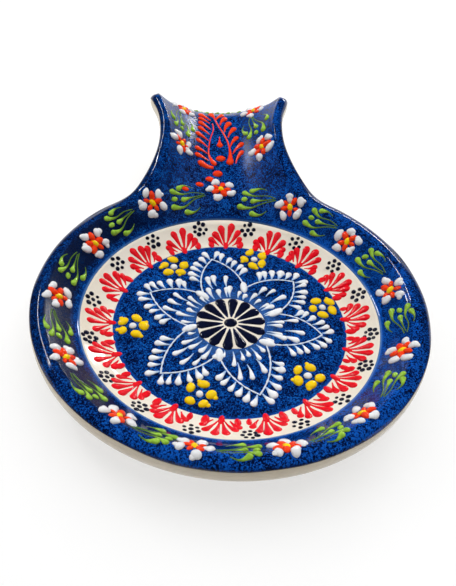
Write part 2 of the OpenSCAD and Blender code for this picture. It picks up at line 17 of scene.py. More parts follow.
import bpy
import numpy as np
from mathutils import Matrix, Quaternion, Vector
from mathutils.bvhtree import BVHTree


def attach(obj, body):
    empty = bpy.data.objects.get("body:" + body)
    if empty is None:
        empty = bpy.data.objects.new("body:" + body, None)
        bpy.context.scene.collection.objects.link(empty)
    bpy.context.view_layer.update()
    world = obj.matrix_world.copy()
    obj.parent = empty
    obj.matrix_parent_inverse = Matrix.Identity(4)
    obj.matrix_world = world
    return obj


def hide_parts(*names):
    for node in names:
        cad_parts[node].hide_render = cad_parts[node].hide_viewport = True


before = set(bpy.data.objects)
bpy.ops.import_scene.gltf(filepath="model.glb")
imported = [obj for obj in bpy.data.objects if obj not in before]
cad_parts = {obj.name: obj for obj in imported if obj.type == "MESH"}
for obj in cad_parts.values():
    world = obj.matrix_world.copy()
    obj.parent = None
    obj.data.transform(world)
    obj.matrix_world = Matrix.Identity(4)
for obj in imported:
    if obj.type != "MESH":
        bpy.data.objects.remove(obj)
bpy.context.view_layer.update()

MM = 0.001
IMAGE_H = 586
LOG = logging.getLogger("spoon_rest")

Place = tuple[float, float]
Value = Union["Wire", float, Sequence[float]]


# Shapes in numbers


def blend(a: Any, b: Any, t: Any) -> Any:
    """Goes from a to b as t goes from 0 to 1."""
    return a * (1 - t) + b * t


def ease(t: Any) -> Any:
    """Goes softly from 0 to 1 as t does."""
    q = np.clip(t, 0, 1)
    return q * q * (3 - 2 * q)


def polar(r: float, degrees: float) -> Place:
    """The place at a distance r from the dish's centre, in the given direction."""
    return (r * math.cos(math.radians(degrees)), r * math.sin(math.radians(degrees)))


def profile(shares: Sequence[Place], x: Place, z: Place) -> np.ndarray:
    """The points of a profile, from shares of its run and of its rise."""
    return np.array([(blend(*x, a), blend(*z, b)) for a, b in shares])


def hermite(t: Any, h: Any, ends: tuple[Any, Any], slopes: tuple[Any, Any]) -> Any:
    """The point at a share t of a curved step of length h, from its ends and their slopes."""
    start, end = t * (1 - t) ** 2 * h * slopes[0], t * t * (t - 1) * h * slopes[1]
    return (1 + 2 * t) * (1 - t) ** 2 * ends[0] + start + t * t * (3 - 2 * t) * ends[1] + end


def read_curve(table: np.ndarray, x: Any) -> np.ndarray:
    """Reads the smooth curve through the points of a table.

    Args:
        table: Rows of x and height, with x rising.
        x: Where to read the curve.

    Returns:
        The heights at x.
    """
    px, py = table[:, 0], table[:, 1]
    q = np.clip(x, px[0], px[-1])
    i = np.clip(np.searchsorted(px, q, side="right") - 1, 0, len(px) - 2)
    k = np.arange(len(px))
    low, high = np.maximum(k - 1, 0), np.minimum(k + 1, len(px) - 1)
    slope = (py[high] - py[low]) / (px[high] - px[low])
    h = px[i + 1] - px[i]
    return hermite((q - px[i]) / h, h, (py[i], py[i + 1]), (slope[i], slope[i + 1]))


def spline(
    points: np.ndarray, steps: int, closed: bool, knots: np.ndarray | None = None
) -> np.ndarray:
    """Draws a smooth curve through points, with no jump in its curvature.

    Args:
        points: The points, one to a row.
        steps: How many steps the curve takes from one point to the next.
        closed: Whether the curve runs back to its first point.
        knots: Lengths between the points, or None to measure them.

    Returns:
        The finer points, one to a row. An open curve keeps its last point.
    """
    n = len(points)
    ahead = np.roll(points, -1, 0) - points
    h = np.linalg.norm(ahead, axis=1) if knots is None else np.append(knots, 1.0)
    h = h[:, None]
    rate = ahead / h
    matrix = np.zeros((n, n))
    side = np.zeros_like(points)
    for i in range(0 if closed else 1, n if closed else n - 1):
        before = (i - 1) % n
        matrix[i, before] += 1 / h[before, 0]
        matrix[i, i] += 2 / h[before, 0] + 2 / h[i, 0]
        matrix[i, (i + 1) % n] += 1 / h[i, 0]
        side[i] = 3 * (rate[before] / h[before] + rate[i] / h[i])
    if not closed:
        matrix[0, :2] = (2, 1)
        matrix[-1, -2:] = (1, 2)
        side[0], side[-1] = 3 * rate[0], 3 * rate[-2]
    slope = np.linalg.solve(matrix, side)
    found = []
    for i in range(n if closed else n - 1):
        k = (i + 1) % n
        ends, slopes = (points[i], points[k]), (slope[i], slope[k])
        found += [hermite(t, h[i], ends, slopes) for t in np.arange(steps) / steps]
    return np.array(found if closed else found + [points[-1]])


@dataclass
class ClayForm:
    """The clay's form: a dish whose rolled rim runs into a raised, flared tongue."""

    dish_d: float = 140.0
    centre_d: float = 85.162
    ring_d: float = 107.8
    ring_rise: float = 5.0
    rim_rise: float = 14.4
    lip_w: float = 6.2
    side_h: float = 8.6
    foot_d: float = 104.03
    foot_w: float = 5.0
    foot_recess: float = 1.5
    floor_t: float = 4.5
    neck_w: float = 52.4
    neck_y: float = 88.0
    flare_a: float = 18.0
    flare_l: float = 7.0
    ear_r: float = 4.8
    end_y: float = 124.0
    crest_rise: float = 17.6
    ear_rise: float = 32.4
    dish_wall: float = 7.0
    tongue_wall: float = 5.0
    coat_t: float = 0.4
    ear_turn: float = 96.0
    hollow_power: float = 2.1
    side_brink_share: float = 0.69
    end_brink_share: float = 0.61
    brink_drop_share: float = 0.115
    drip_share: float = 0.035
    drip_waves: int = 9
    drip_row: int = 3
    channel_from: float = 0.55
    channel_run: float = 0.5
    ear_settle: float = 0.45
    settle_from: float = 20.0
    length_share: float = 0.9992
    counts: tuple[int, int, int, int] = (32, 8, 4, 4)
    ring_shares: tuple = ((0, 0), (0.18, 0.05), (0.55, 0.43), (1, 1))
    wall_shares: tuple = ((0.3, 0.28), (0.62, 0.62), (1, 1), (1.5, 1.4))
    channel_shares: tuple = (
        (0, 0), (0.17, 0.36), (0.37, 0.66), (0.57, 0.87), (0.73, 0.975),
        (0.82, 1), (0.9, 0.93), (0.96, 0.78), (1, 0.62), (1.09, 0.15),
    )
    edge_shares: tuple = (
        (-1, 0), (-0.45, 0), (-0.23, 0.01), (-0.1, 0.07), (0.04, 0.2),
        (0.18, 0.37), (0.32, 0.53), (0.47, 0.67), (0.61, 0.8), (0.75, 0.9),
        (0.88, 0.97), (1, 1), (1.1, 0.93), (1.2, 0.74), (1.36, 0.33),
    )
    rim_lip_shares: tuple = (
        (0.26, 0.115), (0.55, 0.09), (0.81, 0.01), (0.95, -0.1),
        (1, -0.26), (0.99, -0.47), (0.9, -0.7), (0.68, -0.88),
    )
    side_lip_shares: tuple = (
        (0.16, 0.1), (0.36, 0.09), (0.53, 0.01), (0.65, -0.12),
        (0.69, -0.28), (0.69, -0.44), (0.63, -0.58), (0.51, -0.69),
    )
    end_lip_shares: tuple = (
        (0.2, -0.11), (0.39, -0.25), (0.53, -0.4), (0.61, -0.57),
        (0.6, -0.71), (0.49, -0.83), (0.3, -0.88), (0.06, -0.84),
    )
    border_shares: tuple = (0.14, 0.28, 0.42, 0.56, 0.7, 0.82, 0.92, 1)
    coated_lip_rows: int = 4
    under_rows: tuple = (10, 8, 6, 4, 3)
    foot_soft: float = 0.45
    across: int = 4
    along: int = 5

    def __post_init__(self) -> None:
        """Works out the sizes that follow from the others."""
        self.rim_r, self.centre_r = self.dish_d / 2, self.centre_d / 2
        self.ring_r, self.foot_r = self.ring_d / 2, self.foot_d / 2
        neck_r = self.neck_w / 2
        self.foot_drop = self.floor_t + self.foot_recess
        self.fillet_r = (self.neck_y**2 - self.rim_r**2 + neck_r**2) / (2 * (self.rim_r - neck_r))
        self.fillet_x = neck_r + self.fillet_r
        self.join_a = math.degrees(math.atan2(self.neck_y, self.fillet_x))
        self.join_y = self.rim_r * math.sin(math.radians(self.join_a))
        flare = math.radians(self.flare_a)
        sine, cosine = math.sin(flare), math.cos(flare)
        self.flare_y = self.neck_y + self.fillet_r * sine
        self.ear_c = np.array([
            self.fillet_x - self.fillet_r * cosine + self.flare_l * sine - self.ear_r * cosine,
            self.flare_y + self.flare_l * cosine + self.ear_r * sine,
        ])
        self.brink_drop = self.side_h * self.brink_drop_share
        low, high = (0, self.ring_rise), (self.ring_rise, self.rim_rise - self.brink_drop)
        self.dish_line = np.concatenate([
            profile(self.ring_shares, (self.centre_r, self.ring_r), low),
            profile(self.wall_shares, (self.ring_r, self.rim_r - self.lip_w), high),
        ])
        rises = (self.ring_rise, self.crest_rise)
        self.channel_line = profile(self.channel_shares, (self.ring_r, self.end_y), rises)
        rises = (self.rim_rise, self.ear_rise)
        self.edge_line = profile(self.edge_shares, (self.join_y, self.ear_c[1]), rises)
        self.ring_row = len(self.ring_shares) - 1
        self.brink_row = self.ring_row + len(self.border_shares)
        self.coat_row = self.brink_row + self.coated_lip_rows
        self.half_n = sum(self.counts)
        self.skin = self._skin()
        self.normals = self._normals(self.skin)
        coated = slice(self.brink_row, self.coat_row + 1)
        coat = self.skin[coated] + self.coat_t * self.normals[coated]
        edge = np.concatenate([coat, self.skin[self.coat_row :]])[..., 1]
        self.shift = np.array([0, -(edge.min() + edge.max()) / 2, self.foot_drop])
        self.fine = self._fine(self.skin)
        rise = (self.fine[..., 2] - self.settle_from) / (self.ear_rise - self.settle_from)
        self.fine[..., 2] -= self.ear_settle * ease(rise)
        self.fine[..., 1] *= self.length_share
        self.fine_normals = self._normals(self.fine)

    def tongue_part(self, y: Any) -> Any:
        """How far the shape has gone from dish to tongue, 0 to 1."""
        return ease((y - self.join_y) / (self.neck_y - self.join_y))

    def brink_w(self, y: Any) -> Any:
        """Width of the rolled rim inside the outermost line."""
        return self.lip_w * blend(1, self.side_brink_share, self.tongue_part(y))

    def half_width(self, y: Any) -> Any:
        """Half the width of the whole object.

        Args:
            y: Distances towards the tongue.

        Returns:
            Distances from the middle to the outermost line.
        """
        dish = np.sqrt(np.maximum(self.rim_r**2 - y * y, 1))
        rise = np.minimum(y, self.flare_y) - self.neck_y
        neck = self.fillet_x - np.sqrt(np.maximum(self.fillet_r**2 - rise**2, 0))
        flare = np.maximum(y - self.flare_y, 0) * math.tan(math.radians(self.flare_a))
        return np.where(y < self.join_y, dish, neck) + flare

    def brink_x(self, y: Any) -> Any:
        """Half the width of the hollow inside the rolled rim."""
        return self.half_width(y) - self.brink_w(y)

    def top_z(self, x: Any, y: Any) -> Any:
        """Height of the clay's upper surface.

        Args:
            x: Distances across.
            y: Distances towards the tongue.

        Returns:
            Heights above the flat centre.
        """
        r = np.hypot(x, y)
        low = read_curve(self.channel_line, y)
        high = read_curve(self.edge_line, y) - self.brink_drop
        share = np.minimum(np.abs(x) / self.brink_x(y), 1.3)
        channel = low + (high - low) * share**self.hollow_power
        dish = np.where(r <= self.centre_r, 0, read_curve(self.dish_line, r))
        part = np.where(r <= self.ring_r, 0, ease((r - self.ring_r) / (self.rim_r - self.ring_r)))
        run = (y - self.join_y * self.channel_from) / (self.join_y * self.channel_run)
        return blend(dish, channel, part * ease(run))

    def outline(self) -> np.ndarray:
        """Draws the outermost line.

        Returns:
            Its places, counter-clockwise from the near side of the dish.
        """
        dish_n, neck_n, ear_n, end_n = self.counts
        right = [polar(self.rim_r, blend(-90, self.join_a, i / dish_n)) for i in range(dish_n + 1)]
        for i in range(1, neck_n + 1):
            p = polar(self.fillet_r, blend(180 + self.join_a, 180 - self.flare_a, i / neck_n))
            right.append((self.fillet_x + p[0], self.neck_y + p[1]))
        for i in range(ear_n):
            p = polar(self.ear_r, -self.flare_a + self.ear_turn * i / (ear_n - 1))
            right.append((self.ear_c[0] + p[0], self.ear_c[1] + p[1]))
        tip = right[-1]
        for i in range(1, end_n + 1):
            x = tip[0] * (1 - i / end_n)
            right.append((x, blend(self.end_y, tip[1], (x / tip[0]) ** 2)))
        return np.array(right + [(-p[0], p[1]) for p in right[-2:0:-1]])

    def _skin(self) -> np.ndarray:
        """Draws the clay's upper surface.

        Returns:
            Rows of points, from the flat centre out and under the rim.
        """
        line = self.outline()
        n = len(line)
        j = np.arange(n)
        half = np.where(j <= self.half_n, j, n - j)
        dish_n, neck_n, ear_n, _ = self.counts
        end_part = ease((half - dish_n - neck_n) / ear_n)
        tangent = np.roll(line, -1, 0) - np.roll(line, 1, 0)
        tangent /= np.linalg.norm(tangent, axis=1)[:, None]
        out = np.stack([tangent[:, 1], -tangent[:, 0]], 1)
        start = np.where(
            half <= dish_n,
            blend(-90, self.join_a, half / dish_n),
            blend(self.join_a, 90, (half - dish_n) / (self.half_n - dish_n)),
        )
        start = np.radians(np.where(j <= self.half_n, start, 180 - start))
        around = np.stack([np.cos(start), np.sin(start)], 1)
        width = blend(self.brink_w(line[:, 1]), self.lip_w * self.end_brink_share, end_part)
        brink = line - width[:, None] * out
        rows = [
            np.column_stack([around * r, np.full(n, z)])
            for r, z in self.dish_line[: len(self.ring_shares)]
        ]
        ring = around * self.ring_r
        follow = ease((half - dish_n) / neck_n)[:, None]
        for share in self.border_shares:
            y = blend(ring[:, 1], brink[:, 1], share)
            ends = (edge[:, 0] / self.brink_x(edge[:, 1]) for edge in (ring, brink))
            x = blend(*ends, share) * self.brink_x(y)
            p = blend(blend(ring, brink, share), np.stack([x, y], 1), follow)
            rows.append(np.column_stack([p, self.top_z(p[:, 0], p[:, 1])]))
        tongue = self.tongue_part(line[:, 1])[:, None]
        base = self.top_z(brink[:, 0], brink[:, 1])
        wave = 2 * np.pi * self.drip_waves * j / n
        drip = self.drip_share * (np.sin(wave) + np.sin(2.3 * wave) / 2)
        lips = zip(self.rim_lip_shares, self.side_lip_shares, self.end_lip_shares)
        for i, (rim, side, end) in enumerate(np.array(lip) for lip in lips):
            share = blend(blend(rim, side, tongue), end, end_part[:, None])
            drop = share[:, 1] + (1 - end_part) * (drip if i == self.drip_row else 0)
            q = brink + self.lip_w * share[:, :1] * out
            rows.append(np.column_stack([q, base + self.side_h * drop]))
        return np.array(rows)

    def _fine(self, rows: np.ndarray) -> np.ndarray:
        """Draws rows on one smooth surface, with more points round and more rows between.

        Args:
            rows: The coarse rows.

        Returns:
            The fine rows.
        """
        around = np.array([spline(row, self.across, True) for row in rows])
        knots = np.linalg.norm(np.diff(around, axis=0), axis=2).mean(axis=1)
        flat = around.reshape(len(rows), -1)
        return spline(flat, self.along, False, knots).reshape(-1, around.shape[1], 3)

    @staticmethod
    def _normals(rows: np.ndarray) -> np.ndarray:
        """Finds the outward directions of a surface.

        Args:
            rows: Its points in rows.

        Returns:
            A direction for each point.
        """
        along = np.roll(rows, -1, 1) - np.roll(rows, 1, 1)
        across = np.concatenate([rows[1:], rows[-1:]]) - np.concatenate([rows[:1], rows[:-1]])
        n = np.cross(across, along)
        return n / np.linalg.norm(n, axis=2)[..., None]

    def under(self) -> np.ndarray:
        """Draws the underside.

        Returns:
            Fine rows, from the rim in to the foot and its recess.
        """
        wall = blend(self.dish_wall, self.tongue_wall, self.tongue_part(self.outline()[:, 1]))
        coarse = [self.skin[row] - wall[:, None] * self.normals[row] for row in self.under_rows]
        rows = list(self._fine(np.array([self.skin[-1]] + coarse))[1:])
        start = np.arctan2(rows[-1][:, 1], rows[-1][:, 0])
        turn = np.arctan2(self.fine[0][:, 1], self.fine[0][:, 0])
        outer, inner = self.foot_r, self.foot_r - self.foot_w
        face, floor, soft = -self.foot_drop, -self.floor_t, self.foot_soft
        for r, z, share in (
            (outer + 0.35, face + 2.2, 0.6),
            (outer + 0.02, face + soft, 1.0),
            (outer - 0.14, face + 0.13, 1.0),
            (outer - soft, face, 1.0),
            (inner + soft, face, 1.0),
            (inner + 0.13, face + 0.12, 1.0),
            (inner, face + soft, 1.0),
            (inner - self.foot_recess * 0.6, floor - 0.15, 1.0),
            (inner - self.foot_recess * 1.6, floor, 1.0),
            (inner * 0.5, floor, 1.0),
            (inner * 0.12, floor, 1.0),
        ):
            a = blend(start, start + (turn - start + np.pi) % (2 * np.pi) - np.pi, share)
            rows.append(np.stack([r * np.cos(a), r * np.sin(a), np.full(len(a), z)], 1))
        return np.array(rows)


# Node trees


class Graph:
    """A node tree while it is being written, for a material or for geometry."""

    def __init__(self, tree: bpy.types.NodeTree) -> None:
        """Takes the tree that the nodes go into."""
        self.tree = tree

    @classmethod
    def of(cls, block: Any) -> "Graph":
        """Empties the nodes of a material or a world.

        Args:
            block: The material or the world.

        Returns:
            Its graph.
        """
        block.use_nodes = True
        block.node_tree.nodes.clear()
        return cls(block.node_tree)

    def node(
        self,
        kind: str,
        inputs: dict[Union[str, int], Any] | None = None,
        output: Union[str, int] = 0,
        **settings: Any,
    ) -> "Wire":
        """Adds a node.

        Args:
            kind: The node's type.
            inputs: Values or wires for its sockets, by name or number.
            output: The output that is handed back.
            settings: Its settings, set before its sockets.

        Returns:
            A wire from that output.
        """
        made = self.tree.nodes.new(kind)
        for name, value in settings.items():
            setattr(made, name, value)
        for key, value in (inputs or {}).items():
            if isinstance(value, Wire):
                self.tree.links.new(value.socket, made.inputs[key])
            else:
                made.inputs[key].default_value = value
        return Wire(self, made.outputs[output] if made.outputs else made.inputs[0])

    def mix(self, share: Value, first: Value, second: Value) -> "Wire":
        """Mixes two colours."""
        return self.node("ShaderNodeMix", {0: share, 6: first, 7: second}, 2, data_type="RGBA")

    def noise(
        self,
        place: "Wire",
        size: Value,
        detail: float = 2.0,
        rough: float = 0.5,
        seed: Value = 0.0,
    ) -> "Wire":
        """Adds soft noise.

        Args:
            place: Where it is read, in metres.
            size: Width of its spots in millimetres.
            detail: How many finer layers it has.
            rough: How strong these are.
            seed: Which noise it is.

        Returns:
            Values of about 0.3 to 0.7.
        """
        inputs = {"Vector": place, "W": seed, "Scale": 1 / (size * MM)}
        inputs.update({"Detail": detail, "Roughness": rough})
        return self.node("ShaderNodeTexNoise", inputs, noise_dimensions="4D")

    def axes(self, place: "Wire") -> tuple["Wire", "Wire", "Wire"]:
        """The three parts of a place."""
        x = self.node("ShaderNodeSeparateXYZ", {0: place}, "X")
        return x, x.part("Y"), x.part("Z")

    def zone(self, name: str) -> "Wire":
        """Values that a piece holds for its own finish."""
        return self.node("ShaderNodeAttribute", output="Fac", attribute_name=name)

    def stored(self, name: str, kind: str = "FLOAT") -> "Wire":
        """Values that a drawn path holds for Geometry Nodes."""
        return self.node("GeometryNodeInputNamedAttribute", {"Name": name}, data_type=kind)

    def seen(self) -> "Wire":
        """1 for the rays that show the background: those of camera, mirror and glass."""
        path = self.node("ShaderNodeLightPath", output="Is Camera Ray")
        return path.most(path.part("Is Glossy Ray")).most(path.part("Is Transmission Ray"))


@dataclass(frozen=True)
class Wire:
    """A socket that takes part in sums."""

    graph: Graph
    socket: bpy.types.NodeSocket

    def _math(self, operation: str, *values: Value) -> "Wire":
        """Adds one Math node."""
        return self.graph.node("ShaderNodeMath", dict(enumerate(values)), operation=operation)

    def __add__(self, other: Value) -> "Wire":
        """Sum."""
        return self._math("ADD", self, other)

    def __sub__(self, other: Value) -> "Wire":
        """Difference."""
        return self._math("SUBTRACT", self, other)

    def __rsub__(self, other: float) -> "Wire":
        """Difference from a number."""
        return self._math("SUBTRACT", other, self)

    def __mul__(self, other: Value) -> "Wire":
        """Product."""
        return self._math("MULTIPLY", self, other)

    def __truediv__(self, other: Value) -> "Wire":
        """Quotient."""
        return self._math("DIVIDE", self, other)

    def __rtruediv__(self, other: float) -> "Wire":
        """A number divided by this."""
        return self._math("DIVIDE", other, self)

    __radd__ = __add__
    __rmul__ = __mul__

    def least(self, other: Value) -> "Wire":
        """The smaller of two values."""
        return self._math("MINIMUM", self, other)

    def most(self, other: Value) -> "Wire":
        """The larger of two values."""
        return self._math("MAXIMUM", self, other)

    def step(self, low: float, high: float) -> "Wire":
        """Goes softly from 0 at low to 1 at high."""
        ends = {"Value": self, "From Min": low, "From Max": high}
        return self.graph.node("ShaderNodeMapRange", ends, interpolation_type="SMOOTHSTEP")

    def fall(self, low: float, high: float) -> "Wire":
        """Goes softly from 1 at low to 0 at high."""
        return 1 - self.step(low, high)

    def vector(self, operation: str, other: Value, output: Union[str, int] = 0) -> "Wire":
        """Adds one Vector Math node on this and another value."""
        sides = {0: self, "Scale" if operation == "SCALE" else 1: other}
        return self.graph.node("ShaderNodeVectorMath", sides, output, operation=operation)

    def part(self, output: Union[str, int]) -> "Wire":
        """Another output of the same node."""
        return Wire(self.graph, self.socket.node.outputs[output])


# Finishes

Colour = tuple[float, float, float]

# Finishes

Colour = tuple[float, float, float]


def shade(red: float, green: float, blue: float) -> tuple[float, float, float, float]:
    """Turns a colour into what a shader takes.

    Args:
        red: Its screen value, 0 to 255.
        green: The same.
        blue: The same.

    Returns:
        The linear colour with full alpha.
    """
    parts = [v / 255 for v in (red, green, blue)]
    line = [v / 12.92 if v <= 0.04045 else ((v + 0.055) / 1.055) ** 2.4 for v in parts]
    return (line[0], line[1], line[2], 1.0)


@dataclass(frozen=True)
class Finish:
    """A fired surface with a name and a gloss."""

    name: str
    slot: str
    roughness: float = 0.16
    ior: float = 1.45
    gloss: float = 0.5

    def material(self) -> bpy.types.Material:
        """Makes the material.

        Returns:
            The material, with its colour and relief from this finish.
        """
        made = bpy.data.materials.new(self.name)
        graph = Graph.of(made)
        place = graph.node("ShaderNodeTexCoord", output="Object")
        colour, rough, height, depth = self.paint(graph, place)
        relief = {"Height": height, "Strength": 1.0, "Distance": depth * MM}
        looks = {"Base Color": colour, "Roughness": rough, "IOR": self.ior}
        looks["Specular IOR Level"] = self.gloss
        looks["Normal"] = graph.node("ShaderNodeBump", relief)
        surface = graph.node("ShaderNodeBsdfPrincipled", looks)
        graph.node("ShaderNodeOutputMaterial", {"Surface": surface})
        return made

    def paint(self, graph: Graph, place: Wire) -> tuple[Wire, Value, Wire, float]:
        """Says what changes over the surface.

        Args:
            graph: The material's graph.
            place: Object coordinates.

        Returns:
            Colour, roughness, height of the relief and its depth in millimetres.
        """
        raise NotImplementedError


@dataclass(frozen=True)
class SpeckledCobalt(Finish):
    """Cobalt glaze, bright where it runs thin, with navy specks.

    Its zones follow how far a point lies from the cream, past the rim's brink and before
    the coat's edge, in millimetres.
    """

    centre_y: float = 0.0
    border: bool = True
    deep: Colour = (2, 52, 130)
    plain: Colour = (5, 68, 158)
    bright: Colour = (22, 112, 206)
    speck: Colour = (0, 11, 44)
    # Painted light: the lit blue of the right side and the front.
    sunlit: Colour = (14, 90, 200)
    # Painted shade: the navy of the shaded inner wall.
    wall: Colour = (0, 8, 32)
    # Painted shade: the navy of the rim's shaded outer roll.
    outside: Colour = (0, 12, 46)
    pooled: Colour = (3, 18, 64)
    thin: Colour = (92, 142, 196)

    def paint(self, graph: Graph, place: Wire) -> tuple[Wire, Value, Wire, float]:
        """Paints specks, clouds and ripples over the zones.

        Args:
            graph: The material's graph.
            place: Object coordinates.

        Returns:
            Colour, roughness, height of the relief and its depth in millimetres.
        """
        patch = graph.noise(place, 8.0, 2.0, 0.5, 3.0)
        grain = graph.noise(place, 0.56, 3.0, 0.75, 1.0)
        blot = graph.noise(place, 2.6, 2.0, 0.6, 6.0)
        body = grain + (patch - 0.5) * 0.2 + (blot - 0.5) * 0.22
        speck = body.step(0.455, 0.545)
        glow = (1 - body).step(0.53, 0.64)
        base = graph.mix(patch.step(0.35, 0.68), shade(*self.deep), shade(*self.plain))
        base = graph.mix(glow * 0.7, base, shade(*self.bright))
        rough: Value = self.roughness + speck * 0.02
        if self.border:
            base, density, dull, clear, pale = self._border(graph, place, base, patch)
        else:
            flat = place.vector("MULTIPLY", (1.0, 1.0, 0.0))
            away = flat.vector("DISTANCE", (0.0, self.centre_y * MM, 0.0), "Value") * (1 / MM)
            haze = away.fall(12.4, 21.0) * (patch * 1.1 + 0.15)
            clear, pale = away.step(41.0, 42.2).most(haze * 0.8), haze * 0.3
            density, dull = 1.0, 0.0
        colour = graph.mix(speck * density * (1 - clear * 0.85), base, shade(*self.speck))
        colour = graph.mix(pale, colour, shade(*self.thin))
        ripple = graph.noise(place, 5.0, 2.0, 0.4, 5.0)
        return colour, rough + dull, ripple + grain * 0.03, 0.035

    def _border(
        self, graph: Graph, place: Wire, base: Wire, patch: Wire
    ) -> tuple[Wire, Wire, Wire, Wire, Wire]:
        """Adds painted shade on the wall and lip, a pool at the edge, painted light on the right
        side and a line at the cream.

        Args:
            graph: The material's graph.
            place: Object coordinates.
            base: The colour so far.
            patch: Soft clouds.

        Returns:
            The colour, the specks' strength, added roughness, where specks stop, and the pale
            line.
        """
        names = ("from_cream", "past_brink", "before_edge", "tongue")
        near, past, left, tongue = (graph.zone(name) for name in names)
        side, ahead, _ = (axis * (1 / MM) for axis in graph.axes(place))
        left_side = side.fall(-45.0, 5.0)
        # Painted light: the right side and the front are lifted towards a lit blue, as where light
        # falls on them.
        painted_light = side.step(-5.0, 40.0).most(ahead.fall(-95.0, -60.0))
        base = graph.mix(painted_light * 0.55, base, shade(*self.sunlit))
        # Painted shade: the inner wall is darkened towards navy, reaching further up and darker on
        # the left, least on the right; its specks are fainter there.
        wall = near.step(1.5, 5.0) * (past - left_side * 3.2).fall(-2.5, 0.0) * (1 - tongue) * 0.5
        thick = left_side * 0.75 + side.fall(10.0, 50.0) * 0.5
        base = graph.mix((wall * (0.6 + thick)).least(0.85), base, shade(*self.wall))
        # Painted shade: the rim's outer roll is darkened towards navy, away from the front.
        outer = past.step(1.2, 4.2) * ahead.step(-75.0, -35.0) * 0.62
        base = graph.mix(outer, base, shade(*self.outside))
        base = graph.mix(left.fall(0.2, 1.3) * 0.85, base, shade(*self.pooled))
        soft = tongue * past.fall(-1.5, 0.5) * side.fall(-16.0, 2.0).most(side.step(5.0, 11.0))
        dull = soft * 0.2 + wall * side.fall(-52.0, -25.0) * 0.4
        pale = near.fall(0.25, 1.15) * (0.4 + patch * 0.6)
        return base, 1 - wall * 0.4, dull, near.fall(0.4, 2.6), pale


@dataclass(frozen=True)
class CreamGlaze(Finish):
    """Warm cream glaze; bare biscuit clay shows on the foot's standing face."""

    foot: bool = False

    def paint(self, graph: Graph, place: Wire) -> tuple[Wire, Value, Wire, float]:
        """Paints warm clouds, fine pinholes and the bare foot.

        Args:
            graph: The material's graph.
            place: Object coordinates.

        Returns:
            Colour, roughness, height of the relief and its depth in millimetres.
        """
        cloud = graph.noise(place, 14.0, 3.0, 0.5, 2.0)
        pin = graph.noise(place, 0.8, 1.0, 0.5, 4.0).step(0.7, 0.78)
        pale = cloud.step(0.3, 0.75)
        colour = graph.mix(pale, shade(243, 236, 222), shade(236, 225, 206))
        colour = graph.mix(pin * 0.22, colour, shade(190, 168, 138))
        rough: Value = self.roughness + pin * 0.1
        if self.foot:
            warm = graph.mix(pale, shade(238, 224, 200), shade(228, 212, 184))
            colour = graph.mix(0.75, colour, warm)
            high = graph.axes(place)[2] * (1 / MM)
            bare = (high + (cloud - 0.5) * 0.3).fall(0.25, 0.5)
            grit = graph.noise(place, 0.35, 3.0, 0.7, 6.0)
            biscuit = graph.mix(grit, shade(222, 196, 164), shade(196, 160, 126))
            colour = graph.mix(bare, colour, biscuit)
            rough = self.roughness + bare * 0.6
        ripple = graph.noise(place, 6.0, 2.0, 0.4, 5.0)
        return colour, rough, ripple - pin * 0.3, 0.03


@dataclass(frozen=True)
class RaisedEnamel(Finish):
    """Opaque raised enamel that turns thin and lets the glaze through at a stroke's tail."""

    full: Colour = (255, 255, 255)
    thin: Colour = (200, 200, 200)
    shadow: Colour = (220, 220, 220)
    thin_from: float = 0.2
    thin_to: float = 0.6

    def paint(self, graph: Graph, place: Wire) -> tuple[Wire, Value, Wire, float]:
        """Paints the body colour, thin tails and small uneven spots.

        Args:
            graph: The material's graph.
            place: Object coordinates.

        Returns:
            Colour, roughness, height of the relief and its depth in millimetres.
        """
        cloud = graph.noise(place, 1.7, 2.0, 0.5, 8.0)
        colour = graph.mix(cloud.step(0.35, 0.75), shade(*self.full), shade(*self.shadow))
        tail = graph.zone("thickness").fall(self.thin_from, self.thin_to)
        colour = graph.mix(tail, colour, shade(*self.thin))
        bumps = graph.noise(place, 1.1, 2.0, 0.5, 9.0)
        return colour, self.roughness + cloud * 0.05, bumps, 0.05


@dataclass
class Finishes:
    """Every finish on the object, made once."""

    centre_y: float
    cobalt_gloss: float = 0.3
    made: dict[str, bpy.types.Material] = field(default_factory=dict)

    def __post_init__(self) -> None:
        """Makes the materials."""
        kinds: list[Finish] = [
            self._cobalt("cobalt_border", 0.06, True),
            self._cobalt("cobalt_centre", 0.07, False),
            CreamGlaze("cream_ring", "cream_glaze", 0.1),
            CreamGlaze("cream_clay", "clay", 0.2, foot=True),
        ]
        for name, kind, rough, ior, *colours in (
            ("navy", "navy", 0.1, 1.5, (7, 15, 46), (10, 26, 74), (4, 8, 30)),
            ("crimson", "red", 0.16, 1.45, (244, 4, 30), (230, 8, 32), (226, 0, 20)),
            ("orange", "orange", 0.16, 1.45, (255, 66, 6), (244, 50, 8), (246, 46, 2)),
            ("white", "white", 0.18, 1.45, (250, 251, 252), (156, 190, 230), (232, 238, 244)),
            ("chalk", "white", 0.18, 1.45, (241, 241, 242), (222, 224, 228), (230, 232, 235)),
            ("yellow", "yellow", 0.16, 1.45, (255, 216, 0), (246, 204, 0), (250, 204, 0)),
            ("leaf", "green", 0.16, 1.45, (164, 212, 72), (84, 122, 32), (128, 172, 46)),
        ):
            kinds.append(RaisedEnamel(name, kind + "_enamel", rough, ior, Finish.gloss, *colours))
        self.slots = {kind.name: kind.slot for kind in kinds}
        self.made = {kind.name: kind.material() for kind in kinds}

    def _cobalt(self, name: str, rough: float, border: bool) -> SpeckledCobalt:
        """One of the two cobalt glazes."""
        gloss = self.cobalt_gloss
        return SpeckledCobalt(name, "cobalt_glaze", rough, Finish.ior, gloss, self.centre_y, border)


# Clay and glaze


